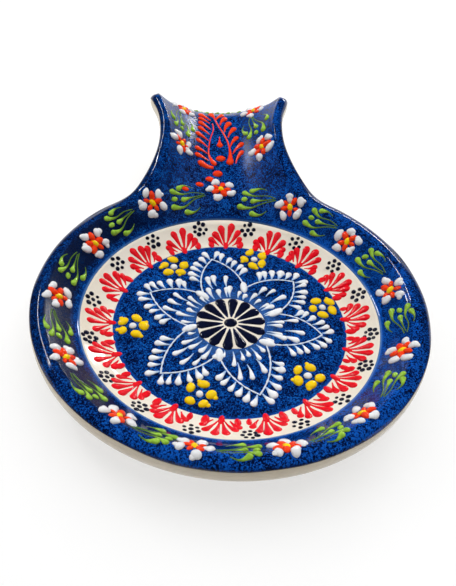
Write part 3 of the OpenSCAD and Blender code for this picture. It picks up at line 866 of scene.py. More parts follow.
@dataclass
class Loft:
    """Builds meshes from rows of points that all have the same count."""

    form: ClayForm

    @staticmethod
    def bands(rows: int, n: int, closed: bool) -> list[Sequence[int]]:
        """Lists four-sided faces that face out where the rows run outwards on top.

        Args:
            rows: How many rows there are.
            n: How many points each of them has.
            closed: Whether the last row joins the first.

        Returns:
            The faces, as numbers of points.
        """
        found: list[Sequence[int]] = []
        for i in range(rows if closed else rows - 1):
            a, b = i * n, (i + 1) % rows * n
            found += [(a + j, b + j, b + (j + 1) % n, a + (j + 1) % n) for j in range(n)]
        return found

    def shell(self, name: str, rows: np.ndarray, lids: bool = False) -> bpy.types.Mesh:
        """Builds a closed piece, in metres in the frame of the CAD model.

        Args:
            name: The mesh's name.
            rows: The rows, round the piece's section.
            lids: Whether the first and last rows are closed by fans, or else joined.

        Returns:
            The mesh.
        """
        count, n = rows.shape[:2]
        points = rows.reshape(-1, 3)
        faces = self.bands(count, n, not lids)
        if lids:
            middle, last = count * n, (count - 1) * n
            points = np.concatenate([points, [rows[0].mean(0), rows[-1].mean(0)]])
            faces += [(middle, j, (j + 1) % n) for j in range(n)]
            faces += [(middle + 1, last + (j + 1) % n, last + j) for j in range(n)]
        made = bpy.data.meshes.new(name)
        made.from_pydata(((points + self.form.shift) * MM).tolist(), [], faces)
        made.shade_smooth()
        made.update()
        return made


def piece(name: str, mesh: bpy.types.Mesh, finish: str, finishes: Finishes, node: str) -> None:
    """Puts a finished mesh into the scene as a piece of the object.

    Args:
        name: The piece's name.
        mesh: Its mesh, in metres and in place.
        finish: The name of its finish.
        finishes: All finishes.
        node: The CAD node that it stands for.
    """
    mesh.materials.clear()
    mesh.materials.append(finishes.made[finish])
    made = bpy.data.objects.new(name, mesh)
    bpy.context.scene.collection.objects.link(made)
    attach(made, "root")
    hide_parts(node)
    LOG.info("%s: %d faces for %s", name, len(mesh.polygons), node)


@dataclass
class ClayAndCoats:
    """The clay body and the glaze coats that lie on it."""

    form: ClayForm
    edge_rows: int = 3
    ground_r: float = 12.5
    ground_t: float = 0.28
    ground_sink: float = 0.1
    ground_stray: float = 0.12
    centre_overlap: float = 0.02
    hidden: float = 5.0
    tongue_from: float = 44.0
    tongue_run: float = 16.0
    disc_rim: tuple = (
        (0.02, 1), (0.5, 1), (0.9, 1), (0.98, 1), (0.985, 1),
        (0.995, 0.93), (1.0, 0.7), (1.0, 0), (0.5, 0), (0.02, 0),
    )

    def __post_init__(self) -> None:
        """Makes the loft that all of them use."""
        self.loft = Loft(self.form)

    def _row(self, row: int) -> int:
        """The fine row on a coarse row."""
        return row * self.form.along

    def coat(self, name: str, start: int, end: int, soft_end: bool) -> bpy.types.Mesh:
        """Builds a coat between two coarse rows.

        Args:
            name: The mesh's name.
            start: First coarse row.
            end: Last coarse row.
            soft_end: Whether the coat thins out over its last rows.

        Returns:
            The mesh, with its upper side first.
        """
        form = self.form
        rows = np.arange(self._row(start), self._row(end) + 1)
        thick = np.full(len(rows), form.coat_t)
        if soft_end:
            left = np.clip((rows[-1] - rows) / self.edge_rows, 0, 1)
            thick *= np.sqrt(np.clip(1 - (1 - left) ** 2, 0.01, 1))
        top = form.fine[rows] + thick[:, None, None] * form.fine_normals[rows]
        below = form.fine[[self._row(row) for row in range(end, start - 1, -1)]]
        return self.loft.shell(name, np.concatenate([top, below]))

    def build(self, finishes: Finishes) -> None:
        """Builds and dresses the clay and the coats.

        Args:
            finishes: All finishes.
        """
        form = self.form
        rows = [self._row(i) for i in range(form.coat_row - 1)]
        rows += list(range(self._row(form.coat_row - 1), len(form.fine)))
        clay = self.loft.shell("clay_body", np.concatenate([form.fine[rows], form.under()]), True)
        border = self.coat("cobalt_coat", form.ring_row, form.coat_row, True)
        self.mark_zones(border)
        ring = self.coat("cream_coat", 0, form.ring_row, False)
        centre = self.disc("centre_coat", form.centre_r + self.centre_overlap, 0.0, form.coat_t)
        low = form.coat_t - self.ground_sink
        ground = self.disc("rosette_cream", self.ground_r, low, self.ground_t, self.ground_stray)
        for mesh, finish, node in (
            (clay, "cream_clay", "ceramic_body"),
            (border, "cobalt_border", "cobalt_border_glaze"),
            (ring, "cream_ring", "cream_ring_glaze"),
            (centre, "cobalt_centre", "cobalt_centre_glaze"),
            (ground, "cream_ring", "rosette_ground"),
        ):
            piece(mesh.name, mesh, finish, finishes, node)

    def disc(self, name: str, r: float, z: float, t: float, stray: float = 0.0) -> bpy.types.Mesh:
        """Builds a thin round coat with a softened edge.

        Args:
            name: The mesh's name.
            r: Its radius.
            z: Height of its lower face.
            t: Its thickness.
            stray: How far its hand-painted edge strays.

        Returns:
            The mesh.
        """
        turn = np.arctan2(self.form.fine[0][:, 1], self.form.fine[0][:, 0])
        wave = np.sin(5 * turn + 1) + 0.6 * np.sin(9 * turn) + 0.4 * np.sin(14 * turn + 2)
        rows = []
        for share, high in self.disc_rim:
            reach = share * r + stray * wave * share**8
            level = np.full(len(turn), z + t * high)
            rows.append(np.stack([reach * np.cos(turn), reach * np.sin(turn), level], 1))
        return self.loft.shell(name, np.array(rows), True)

    def mark_zones(self, mesh: bpy.types.Mesh) -> None:
        """Stores on the border's coat how far each point lies from the cream and the brink.

        Args:
            mesh: The coat.
        """
        form = self.form
        rows = form.fine[self._row(form.ring_row) : self._row(form.coat_row) + 1]
        n = rows.shape[1]
        steps = np.linalg.norm(np.diff(rows, axis=0), axis=2)
        run = np.concatenate([np.zeros((1, n)), np.cumsum(steps, 0)])
        brink = run[self._row(form.brink_row - form.ring_row)]
        hidden = np.full((form.coat_row - form.ring_row + 1, n), self.hidden)
        y = np.array([v.co.y for v in mesh.vertices]) / MM - form.shift[1]
        for name, values in (
            ("from_cream", np.concatenate([run, hidden])),
            ("past_brink", np.concatenate([run - brink, hidden])),
            ("before_edge", np.concatenate([run[-1] - run, hidden])),
            ("tongue", ease((y - self.tongue_from) / self.tongue_run)),
        ):
            store(mesh, name, values.ravel())


def store(mesh: bpy.types.Mesh, name: str, values: np.ndarray) -> None:
    """Stores a number or a direction on each of a mesh's points.

    Args:
        mesh: The mesh.
        name: What the values are called.
        values: One value or one row for each point.
    """
    kind, key = ("FLOAT_VECTOR", "vector") if values.ndim == 2 else ("FLOAT", "value")
    data = mesh.attributes.new(name, kind, "POINT").data
    data.foreach_set(key, values.astype(np.float32).ravel())


# Raised enamel


class Taper(Enum):
    """How the width of a trailed stroke runs from its start to its end."""

    DROP = "drop"
    LINE = "line"
    BEAD = "bead"


@dataclass
class Stroke:
    """One dab of enamel, trailed through places on the glaze and ending in its head."""

    path: Sequence[Place]
    radius: float
    taper: Taper = Taper.DROP
    tail: float = 0.2
    power: float = 1.5
    step: float = 0.8

    def stations(self, length: float) -> list[tuple[float, float]]:
        """Says where the stroke is measured.

        Args:
            length: Length of the path, up to the head's middle.

        Returns:
            Pairs of a place along the path and half the width there.
        """
        r = self.radius
        if self.taper is Taper.BEAD:
            reach = length / 2 + r
            turns = np.radians([-84, -62, -36, -12, 12, 36, 62, 84])
            return [(length / 2 + reach * math.sin(t), r * math.cos(t)) for t in turns]
        most = 26 if self.taper is Taper.LINE else 14
        n = max(4, min(most, int(length / self.step)))
        body = [(length * k / n, k / n) for k in range(n + 1)]
        if self.taper is Taper.LINE:
            sway = [0.22 * math.sin(2.3 * s + length) + 0.12 * math.sin(5.1 * s) for s, _ in body]
            body = [(s, r * (0.86 + q)) for (s, _), q in zip(body, sway)]
            return [(-r * 0.8, r * 0.4)] + body + [(length + r * 0.8, r * 0.4)]
        found = [(s, r * (self.tail + (1 - self.tail) * t**self.power)) for s, t in body]
        head = np.radians([28, 52, 72, 86])
        return found + [(length + r * math.sin(t), r * math.cos(t)) for t in head]

    def fullness(self, widths: np.ndarray) -> np.ndarray:
        """Says how full the enamel is along the stroke.

        Args:
            widths: Half its width at its stations.

        Returns:
            Shares, 1 at its head and on past it.
        """
        if self.taper is not Taper.DROP:
            return np.full(len(widths), 1.0 if self.taper is Taper.BEAD else 0.45)
        found = widths / self.radius
        found[int(found.argmax()) :] = 1.0
        return found


class GlazeSurface:
    """The glazed upper surface that the enamel is laid on."""

    high: float = 90.0
    pace: float = 1.5

    def __init__(self, form: ClayForm) -> None:
        """Takes the surface from the form, with the flat centre closed.

        Args:
            form: The clay's form.
        """
        rows = form.fine + form.coat_t * form.fine_normals
        count, n = rows.shape[:2]
        points = rows.reshape(-1, 3).tolist() + [[0.0, 0.0, form.coat_t]]
        faces = Loft.bands(count, n, False) + [(count * n, j, (j + 1) % n) for j in range(n)]
        self.tree = BVHTree.FromPolygons([tuple(p) for p in points], faces)

    def seat(self, place: Place, lift: float = 0.0) -> tuple[Vector, Vector]:
        """Finds the surface above a place in plan.

        Args:
            place: The place in plan.
            lift: How far to stand off the surface.

        Returns:
            The point and the surface's direction there.
        """
        point, normal, _, _ = self.tree.ray_cast(Vector((*place, self.high)), Vector((0, 0, -1)))
        if point is None:
            raise ValueError(f"no glaze at {place}")
        up = normal if normal.z > 0 else -normal
        return point + up * lift, up

    def walk(self, place: Place, degrees: float, length: float) -> Place:
        """Goes a length over the surface.

        Args:
            place: Where to start.
            degrees: The direction as seen from above.
            length: How far to go.

        Returns:
            The place in plan where this ends.
        """
        d = polar(1.0, degrees)
        steps = max(1, int(abs(length) / self.pace))
        for _ in range(steps):
            _, up = self.seat(place)
            rise = -(up.x * d[0] + up.y * d[1]) / max(up.z, 0.2)
            reach = length / steps / math.sqrt(1 + rise * rise)
            place = (place[0] + reach * d[0], place[1] + reach * d[1])
        return place


@dataclass
class Spot:
    """A place on the glaze with a direction, from which a motif is laid out."""

    surface: GlazeSurface
    place: Place
    turn: float

    def at(self, ahead: float, left: float) -> Place:
        """The place so far ahead and to the left over the surface."""
        first = self.surface.walk(self.place, self.turn, ahead)
        return self.surface.walk(first, self.turn + 90, left)

    def path(self, *steps: Place) -> list[Place]:
        """The places of several steps ahead and to the left."""
        return [self.at(*step) for step in steps]

    def turned(self, turn: float, *steps: Place) -> list[Place]:
        """The places of steps that are turned left by so many radians."""
        c, s = math.cos(turn), math.sin(turn)
        return self.path(*((u * c - v * s, u * s + v * c) for u, v in steps))

    def spur(self, turn: float, reach: float, bend: float, *fars: float) -> list[Place]:
        """Places in a new direction from the place a reach away.

        Args:
            turn: The direction of that place, in radians.
            reach: How far away it is.
            bend: The new direction, in radians.
            fars: How far to go in it.

        Returns:
            The places.
        """
        x, y = reach * math.cos(turn), reach * math.sin(turn)
        return self.path(*((x + far * math.cos(bend), y + far * math.sin(bend)) for far in fars))


@dataclass
class EnamelTree:
    """Geometry Nodes that turn a drawing into raised enamel."""

    name: str
    source: str
    sizes: dict[str, float]

    def shape(self, graph: Graph, given: Wire) -> Wire:
        """Writes the nodes that shape the enamel.

        Args:
            graph: The tree's graph.
            given: The tree's inputs.

        Returns:
            The shaped geometry.
        """
        raise NotImplementedError

    def build(self) -> bpy.types.NodeTree:
        """Writes the tree.

        Returns:
            The tree, with its sizes as named inputs.
        """
        tree = bpy.data.node_groups.new(self.name, "GeometryNodeTree")
        sockets = {self.source: "Geometry", **self.sizes, "Finish": "Material"}
        for name, value in sockets.items():
            kind = value if isinstance(value, str) else type(value).__name__.capitalize()
            made = tree.interface.new_socket(name, in_out="INPUT", socket_type="NodeSocket" + kind)
            if not isinstance(value, str):
                made.default_value = value
        tree.interface.new_socket("Enamel", in_out="OUTPUT", socket_type="NodeSocketGeometry")
        graph = Graph(tree)
        given = graph.node("NodeGroupInput")
        smooth = graph.node("GeometryNodeSetShadeSmooth", {"Geometry": self.shape(graph, given)})
        whole = graph.node("GeometryNodeRealizeInstances", {"Geometry": smooth})
        dressing = {"Geometry": whole, "Material": given.part("Finish")}
        dressed = graph.node("GeometryNodeSetMaterial", dressing)
        graph.node("NodeGroupOutput", {"Enamel": dressed})
        return tree


class TrailTree(EnamelTree):
    """Geometry Nodes that turn drawn paths into raised strokes, flatter below than above."""

    def shape(self, graph: Graph, given: Wire) -> Wire:
        """Sweeps the paths, flattens the tubes and lets them swell.

        Args:
            graph: The tree's graph.
            given: The tree's inputs.

        Returns:
            The shaped geometry.
        """
        up = graph.stored("up", "FLOAT_VECTOR")
        lines = graph.node("GeometryNodeMeshToCurve", {"Mesh": given.part(self.source)})
        ring = {"Resolution": given.part("Sides"), "Radius": 1.0}
        section = graph.node("GeometryNodeCurvePrimitiveCircle", ring)
        sweep = {"Curve": lines, "Profile Curve": section, "Scale": graph.stored("half_width")}
        tubes = graph.node("GeometryNodeCurveToMesh", {**sweep, "Fill Caps": True})
        place = graph.node("GeometryNodeInputPosition")
        off = place.vector("SUBTRACT", graph.stored("middle", "FLOAT_VECTOR"))
        height = off.vector("DOT_PRODUCT", up, "Value")
        above = height.most(0.0) * (given.part("Dome") - 1.0)
        below = height.least(0.0) * (given.part("Base") - 1.0)
        lump = graph.noise(place, given.part("Lump size"), 1.0, 0.5, given.part("Seed"))
        swell = off.vector("SCALE", (lump - 0.5) * given.part("Lump height"))
        offset = up.vector("SCALE", above + below).vector("ADD", swell)
        return graph.node("GeometryNodeSetPosition", {"Geometry": tubes, "Offset": offset})


class DotTree(EnamelTree):
    """Geometry Nodes that set a round bead on every point."""

    def shape(self, graph: Graph, given: Wire) -> Wire:
        """Sets beads of uneven width upright on the points.

        Args:
            graph: The tree's graph.
            given: The tree's inputs.

        Returns:
            The shaped geometry.
        """
        width, seed, spread = graph.stored("half_width"), given.part("Seed"), given.part("Spread")
        ball = graph.node(
            "GeometryNodeMeshUVSphere",
            {"Segments": given.part("Sides"), "Rings": given.part("Rings"), "Radius": 1.0},
        )
        turn = graph.node(
            "FunctionNodeAlignRotationToVector",
            {"Vector": graph.stored("up", "FLOAT_VECTOR")},
            axis="Z",
        )
        chance = "FunctionNodeRandomValue"
        spin = graph.node(chance, {2: 0.0, 3: 6.28, "Seed": seed}, 1, data_type="FLOAT")
        ends = {2: 1.0 - spread, 3: 1.0 + spread, "Seed": seed + 5.0}
        wide = graph.node(chance, ends, 1, data_type="FLOAT")
        turned = graph.node(
            "FunctionNodeRotateRotation",
            {"Rotation": turn, "Rotate By": graph.node("ShaderNodeCombineXYZ", {"Z": spin})},
            rotation_space="LOCAL",
        )
        parts = {"X": width * wide, "Y": width, "Z": width * given.part("Dome")}
        size = graph.node("ShaderNodeCombineXYZ", parts)
        beads = {"Points": given.part(self.source), "Instance": ball, "Rotation": turned}
        return graph.node("GeometryNodeInstanceOnPoints", {**beads, "Scale": size})


@dataclass
class Enameller:
    """Lays strokes and dots of enamel on the glaze and makes pieces of them."""

    form: ClayForm
    surface: GlazeSurface
    finishes: Finishes
    sink: float = 0.06
    thinnest: float = 0.04
    path_steps: int = 6

    def __post_init__(self) -> None:
        """Writes the two trees that all the enamel shares."""
        sizes = {"Sides": 8, "Dome": 0.7, "Base": 0.2, "Lump height": 0.0, "Lump size": 1.2}
        self.trails = TrailTree("trailed_enamel", "Paths", {**sizes, "Seed": 1.0}).build()
        sizes = {"Sides": 10, "Rings": 6, "Dome": 0.6, "Spread": 0.12, "Seed": 1}
        self.dots = DotTree("dotted_enamel", "Places", sizes).build()

    def _drawn(self, stroke: Stroke) -> tuple[np.ndarray, np.ndarray, np.ndarray]:
        """Follows a stroke over the glaze.

        Args:
            stroke: The stroke.

        Returns:
            Its points, half its widths, and the surface's directions.
        """
        path = np.array(stroke.path, float)
        if len(path) > 2:
            path = spline(path, self.path_steps, False)
        leg = np.linalg.norm(np.diff(path, axis=0), axis=1)
        run = np.concatenate([[0], np.cumsum(leg)])
        stations = stroke.stations(float(run[-1]))
        points, ups = [], []
        for s, _ in stations:
            q = np.array([np.interp(s, run, path[:, 0]), np.interp(s, run, path[:, 1])])
            if s > run[-1]:
                q = path[-1] + (path[-1] - path[-2]) / max(leg[-1], 1e-6) * (s - run[-1])
            if s < 0:
                q = path[0] + (path[1] - path[0]) / max(leg[0], 1e-6) * s
            point, up = self.surface.seat((q[0], q[1]), -self.sink)
            points.append(point)
            ups.append(up)
        widths = np.array([max(r, self.thinnest) for _, r in stations])
        return np.array(points), widths, np.array(ups)

    def _lay(
        self,
        tree: bpy.types.NodeTree,
        labels: tuple[str, str, str],
        drawing: tuple[np.ndarray, np.ndarray, np.ndarray, np.ndarray],
        edges: list[tuple[int, int]],
        settings: dict[str, Any],
    ) -> None:
        """Runs a tree on a drawing and makes a piece of the result.

        Args:
            tree: The tree to run.
            labels: The names of the piece, its finish and its CAD node.
            drawing: Its points, half its widths, the directions and how full it is.
            edges: The drawn lines between the points.
            settings: Values for the tree's inputs, by name.
        """
        name, finish, node = labels
        points = (drawing[0] + self.form.shift) * MM
        mesh = bpy.data.meshes.new(name)
        mesh.from_pydata(points.tolist(), edges, [])
        parts = (points, drawing[1] * MM, drawing[2], drawing[3])
        for key, values in zip(("middle", "half_width", "up", "thickness"), parts):
            store(mesh, key, values)
        drawn = bpy.data.objects.new(name + "_drawn", mesh)
        bpy.context.scene.collection.objects.link(drawn)
        modifier = drawn.modifiers.new("enamel", "NODES")
        modifier.node_group = tree
        given = {key.replace("_", " "): value for key, value in settings.items()}
        given["Finish"] = self.finishes.made[finish]
        for item in tree.interface.items_tree:
            if item.in_out == "INPUT" and item.name in given:
                modifier[item.identifier] = given[item.name]
        graph = bpy.context.evaluated_depsgraph_get()
        made = bpy.data.meshes.new_from_object(drawn.evaluated_get(graph), depsgraph=graph)
        made.name = name
        drawn.modifiers.remove(modifier)
        bpy.data.objects.remove(drawn)
        for extra in ("middle", "up", "half_width", "radius"):
            found = made.attributes.get(extra)
            if found is not None:
                made.attributes.remove(found)
        piece(name, made, finish, self.finishes, node)

    def trail(
        self, name: str, strokes: Sequence[Stroke], finish: str, node: str, **settings: Any
    ) -> None:
        """Makes a piece of trailed strokes.

        Args:
            name: The piece's name.
            strokes: Its strokes.
            finish: Its finish.
            node: The CAD node that it stands for.
            settings: Values for the tree's inputs that differ from its own.
        """
        drawings, edges, first = [], [], 0
        for stroke in strokes:
            points, widths, ups = self._drawn(stroke)
            drawings.append((points, widths, ups, stroke.fullness(widths)))
            edges += [(first + k, first + k + 1) for k in range(len(points) - 1)]
            first += len(points)
        whole = tuple(np.concatenate(parts) for parts in zip(*drawings))
        self._lay(self.trails, (name, finish, node), whole, edges, settings)

    def dot(
        self,
        name: str,
        spots: Sequence[tuple[Place, float]],
        finish: str,
        node: str,
        **settings: Any,
    ) -> None:
        """Makes a piece of round beads.

        Args:
            name: The piece's name.
            spots: Places and radii of the beads.
            finish: Its finish.
            node: The CAD node that it stands for.
            settings: Values for the tree's inputs that differ from its own.
        """
        points, ups = (np.array(part) for part in zip(*(self.surface.seat(p) for p, _ in spots)))
        whole = (points, np.array([r for _, r in spots]), ups, np.ones(len(spots)))
        self._lay(self.dots, (name, finish, node), whole, [], settings)


@dataclass
class Painting:
    """Enamel that is laid in one go, its small differences drawn from one seed."""

    brush: Enameller
    seed: int

    def __post_init__(self) -> None:
        """Starts the draws."""
        self.rng = np.random.default_rng(self.seed)

    def vary(self, low: float, high: float) -> float:
        """The next small difference, between two limits."""
        return self.rng.uniform(low, high)

    def spot(self, r: float, a: float) -> Spot:
        """The spot at a distance and a direction from the dish's centre, facing outwards."""
        return Spot(self.brush.surface, polar(r, a), a)


@dataclass
class Rosette(Painting):
    """Navy petals round an eye on the cream ground."""

    petals: int = 14
    reach: float = 10.75
    root: float = 1.8
    radius: float = 2.15
    eye_r: float = 2.25

    def build(self) -> None:
        """Lays the petals and the eye."""
        strokes = []
        for i in range(self.petals):
            a = 360 * (i + 0.15) / self.petals + self.vary(-1, 1)
            reach = self.reach + self.vary(-0.2, 0.25)
            path = [polar(r, a) for r in (self.root, 6.0, reach)]
            strokes.append(Stroke(path, self.radius, power=0.95))
        looks = {"Dome": 0.38, "Sides": 10}
        self.brush.trail("rosette_petal_strokes", strokes, "navy", "rosette_petals", **looks)
        eye = Stroke([(-0.25, 0), (0.25, 0.1)], self.eye_r, Taper.BEAD)
        self.brush.trail("rosette_eye_bead", [eye], "navy", "rosette_eye", Dome=0.5, Sides=14)


@dataclass
class CreamRingPainting(Painting):
    """Red fans and navy dot flowers on the cream ring."""

    fans: tuple = (
        89, 112, 134, 156.5, 179.5, 200, 220, 241, 262.5,
        282, 302.5, 323.5, 342.5, 2.5, 24.5, 47, 66,
    )
    flowers: tuple = (
        101, 124.5, 146, 170, 191, 212.5, 231, 252, 273,
        292.5, 312.5, 333, 350.5, 13.5, 33.5, 55, 78.5,
    )
    drops: tuple = (
        (-2.6, -46, 4.2, 1.35), (-0.8, -33, 6.9, 1.45), (-0.3, -11, 8.2, 1.55),
        (0.3, 12, 7.9, 1.5), (0.9, 35, 6.5, 1.45), (2.8, 48, 4.0, 1.35),
    )
    root_r: float = 43.2
    bud_off: float = 5.6
    flower_r: float = 50.7
    dot_r: float = 0.93
    dot_ring: float = 2.38

    def fan(self, a: float) -> list[Stroke]:
        """Draws one fan with its root on the ring's inner edge.

        Args:
            a: The fan's direction from the dish's centre, in degrees.

        Returns:
            Its strokes.
        """
        spot = self.spot(self.root_r, a)
        found = [Stroke(spot.path((-0.9, 0.1), (0.7, -0.1)), self.vary(1.05, 1.3), Taper.BEAD)]
        for off, turn, reach, r in self.drops:
            turn, reach = math.radians(turn + self.vary(-4, 4)), reach * self.vary(0.88, 1.06)
            u, v = reach * math.cos(turn), reach * math.sin(turn)
            bow = 0.4 * math.sin(turn)
            path = spot.path((0.0, off), (0.5 * u + bow, off + 0.5 * v), (u, off + v))
            found.append(Stroke(path, r * self.vary(0.93, 1.12), tail=0.22, power=1.75))
        for side in (-1, 1):
            off = side * (self.bud_off + self.vary(-0.5, 0.6))
            r = self.vary(1.05, 1.5)
            path = spot.path((-0.1, off), (0.6 + self.vary(0, 0.7), off * 1.04))
            found.append(Stroke(path, r, Taper.BEAD))
        return found

    def build(self) -> None:
        """Lays the fans and the flowers."""
        strokes = [s for a in self.fans for s in self.fan(a)]
        self.brush.trail("red_fans", strokes, "crimson", "red_fan_strokes", Dome=0.42)
        spots = []
        for a in self.flowers:
            spot = self.spot(self.flower_r, a)
            start, count = self.vary(0, 60), int(self.rng.integers(6, 8))
            spots.append((spot.place, self.dot_r))
            for k in range(count):
                turn = math.radians(start + 360 * k / count + self.vary(-5, 5))
                place = spot.turned(turn, (self.dot_ring * self.vary(0.92, 1.08), 0.0))[0]
                spots.append((place, self.dot_r * self.vary(0.8, 1.15)))
        looks = {"Dome": 0.4, "Sides": 10, "Rings": 5, "Spread": 0.15}
        self.brush.dot("navy_dots", spots, "navy", "navy_dot_flowers", **looks)


@dataclass
class StarPainting(Painting):
    """White star of six petals with strokes outside and inside, and the yellow flowers."""

    tips: tuple = (98.5, 40.5, -10, -76.5, -137.5, 151.5)
    tip_rs: tuple = (35.2, 34.2, 33.6, 33.6, 34.2, 33.4)
    notches: tuple = (122, 70, 16, -39, -109.5, -173)
    notch_rs: tuple = (18.2, 20.5, 18.8, 16.4, 16.4, 15.6)
    inner: tuple = (
        (-24, 13.4, 17.2, 0.95), (-14, 13.6, 19.2, 1.05), (-5, 13.6, 18.0, 1.0),
        (5, 13.4, 17.4, 1.0), (14, 13.6, 19.0, 1.05), (24, 13.4, 17.0, 0.95),
        (-9, 18.6, 24.6, 1.2), (1, 20.0, 25.6, 1.15), (10, 18.8, 24.2, 1.2),
    )
    yellow: tuple = (
        (124, 36.5), (71.5, 36.9), (13, 36.3), (-44.5, 35.3), (-111, 34.4), (182, 35.4),
    )
    line_r: float = 0.42
    stroke_l: float = 4.5
    stroke_r: float = 1.3
    bulge: float = 2.6
    petal_ring: float = 4.0
    petal_r: float = 1.76
    eye_r: float = 1.4

    def edge(self, i: int, side: int) -> np.ndarray:
        """Draws the curved edge of one petal.

        Args:
            i: Which petal.
            side: Which side of it, -1 or 1.

        Returns:
            Places from its notch to its tip.
        """
        k = i if side > 0 else (i + 1) % 6
        a = np.array(polar(self.notch_rs[k] - 1.0, self.notches[k]))
        b = np.array(polar(self.tip_rs[i], self.tips[i]))
        across = np.array([-(b - a)[1], (b - a)[0]]) / np.linalg.norm(b - a)
        t = np.linspace(0, 1, 7)[:, None]
        return a + (b - a) * t + side * self.bulge * (4 * t * (1 - t)) * across

    def build(self) -> None:
        """Lays the star and the yellow flowers."""
        lines, outer, inner = [], [], []
        for i in range(6):
            for side in (-1, 1):
                edge = self.edge(i, side)
                lines.append(Stroke([tuple(p) for p in edge], self.line_r, Taper.LINE))
                outer += self._feather(edge, side)
            inner += self._inside(i)
        lumps = {"Dome": 0.55, "Lump_height": 0.25, "Seed": 2.0}
        self.brush.trail("star_lines", lines, "white", "white_star_outline", Dome=0.6, Sides=6)
        self.brush.trail("star_strokes", outer, "white", "white_star_strokes", **lumps)
        lumps = {"Dome": 0.55, "Lump_height": 0.3, "Seed": 3.0}
        self.brush.trail("inner_strokes", inner, "white", "white_inner_strokes", **lumps)
        spots = [self.spot(r, a) for a, r in self.yellow]
        petals = [stroke for spot in spots for stroke in self._petals(spot)]
        lumps = {"Dome": 0.62, "Sides": 10, "Lump_height": 0.35, "Seed": 5.0}
        self.brush.trail("yellow_petals", petals, "yellow", "yellow_flower_petals", **lumps)
        eyes = [(spot.place, self.eye_r) for spot in spots]
        self.brush.dot("flower_eyes", eyes, "chalk", "white_flower_eyes", Sides=14, Rings=8)

    def _petals(self, spot: Spot) -> list[Stroke]:
        """Draws the petals of one yellow flower, some with a spur.

        Args:
            spot: The flower's middle.

        Returns:
            Its strokes.
        """
        found = []
        for k in range(5):
            turn = math.radians(36 + 72 * k + self.vary(-7, 7))
            reach = self.petal_ring * self.vary(0.94, 1.08)
            wide, out = self.vary(0.1, 0.6), self.vary(-0.3, 0.3)
            path = spot.turned(turn, (reach - out, wide), (reach + out, -wide))
            found.append(Stroke(path, self.petal_r * self.vary(0.88, 1.08), Taper.BEAD))
            if self.vary(0, 1) < 0.55:
                bend = turn + self.rng.choice([-1, 1]) * self.vary(0.5, 1.3)
                path = spot.spur(turn, reach, bend, 0.0, self.vary(1.5, 2.0))
                found.append(Stroke(path, self.vary(0.75, 1.0), tail=1.0))
        return found

    def _feather(self, edge: np.ndarray, side: int) -> list[Stroke]:
        """Draws strokes that stand off one edge of a petal, heads out.

        Args:
            edge: Places from the petal's notch to its tip.
            side: Which side of the petal it is, -1 or 1.

        Returns:
            The strokes.
        """
        found = []
        for t in np.linspace(0.34, 0.97, 6):
            k = min(int(t * 6), 5)
            leg = edge[k + 1] - edge[k]
            q = edge[k] + leg * (t * 6 - k)
            along = leg / np.linalg.norm(leg)
            out = side * np.array([-along[1], along[0]])
            lean = out * 0.93 + along * self.vary(0.15, 0.45)
            lean /= np.linalg.norm(lean)
            length = self.stroke_l * self.vary(0.85, 1.1)
            start, head = q + out * 0.5, q + out * 0.3 + lean * (length - 0.6)
            fat = self.vary(0.85, 1.12) * (1.3 if self.vary(0, 1) < 0.16 else 1.0)
            path = [tuple(p) for p in (start, (start + head) / 2 + along * 0.15, head)]
            found.append(Stroke(path, self.stroke_r * fat, tail=0.22))
        return found

    def _inside(self, i: int) -> list[Stroke]:
        """Draws the strokes inside one petal and the blob at its notch.

        Args:
            i: Which petal.

        Returns:
            The strokes.
        """
        notch = polar(self.notch_rs[i] - 2.0, self.notches[i])
        on = polar(self.notch_rs[i] + 0.9, self.notches[i] + 3)
        found = [Stroke([notch, on], self.vary(1.5, 1.9), Taper.BEAD)]
        for off, start, end, r in self.inner:
            a = self.tips[i] + off + self.vary(-2.8, 2.8)
            end += self.vary(-1.4, 1.1)
            path = [polar(start, a), polar((start + end) / 2, a + 0.8), polar(end, a)]
            found.append(Stroke(path, r * self.vary(0.8, 1.22)))
        return found


@dataclass
class Daisy:
    """A daisy of lumpy white petals, orange-red hearts and a yellow eye."""

    spot: Spot
    vary: Callable[[float, float], float]
    petal_ring: float = 4.55
    petal_r: float = 1.66
    lump_off: float = 0.9
    heart_ring: float = 2.45
    heart_r: float = 1.35
    eye_r: float = 1.2

    def petals(self) -> list[Stroke]:
        """Draws the five petals, each with a lump.

        Returns:
            The strokes.
        """
        found = []
        for k in range(5):
            turn = math.radians(18 + 72 * k + self.vary(-7, 7))
            reach = self.petal_ring * self.vary(0.93, 1.07)
            wide, slant = self.vary(0.0, 0.35), self.vary(-0.3, 0.35)
            path = self.spot.turned(turn, (reach + slant, wide), (reach - slant, -wide))
            found.append(Stroke(path, self.petal_r * self.vary(0.82, 1.02), Taper.BEAD))
            bend = self.vary(0, 2 * math.pi)
            path = self.spot.spur(turn, reach, bend, self.lump_off, self.lump_off + 0.4)
            found.append(Stroke(path, self.petal_r * self.vary(0.55, 0.8), Taper.BEAD))
        return found

    def hearts(self) -> list[Stroke]:
        """Draws the hearts between the petals and the eye.

        Returns:
            The strokes.
        """
        found = []
        for k in range(5):
            turn = math.radians(-18 + 72 * k + self.vary(-9, 9))
            reach = self.heart_ring * self.vary(0.86, 1.14)
            path = self.spot.turned(turn, (reach - 0.4, 0.0), (reach + 0.5, 0.0))
            found.append(Stroke(path, self.heart_r * self.vary(0.6, 1.15), Taper.BEAD))
        return found

    def eye(self) -> Stroke:
        """The eye."""
        return Stroke(self.spot.path((0.25, 0.1), (-0.25, -0.1)), self.eye_r, Taper.BEAD)


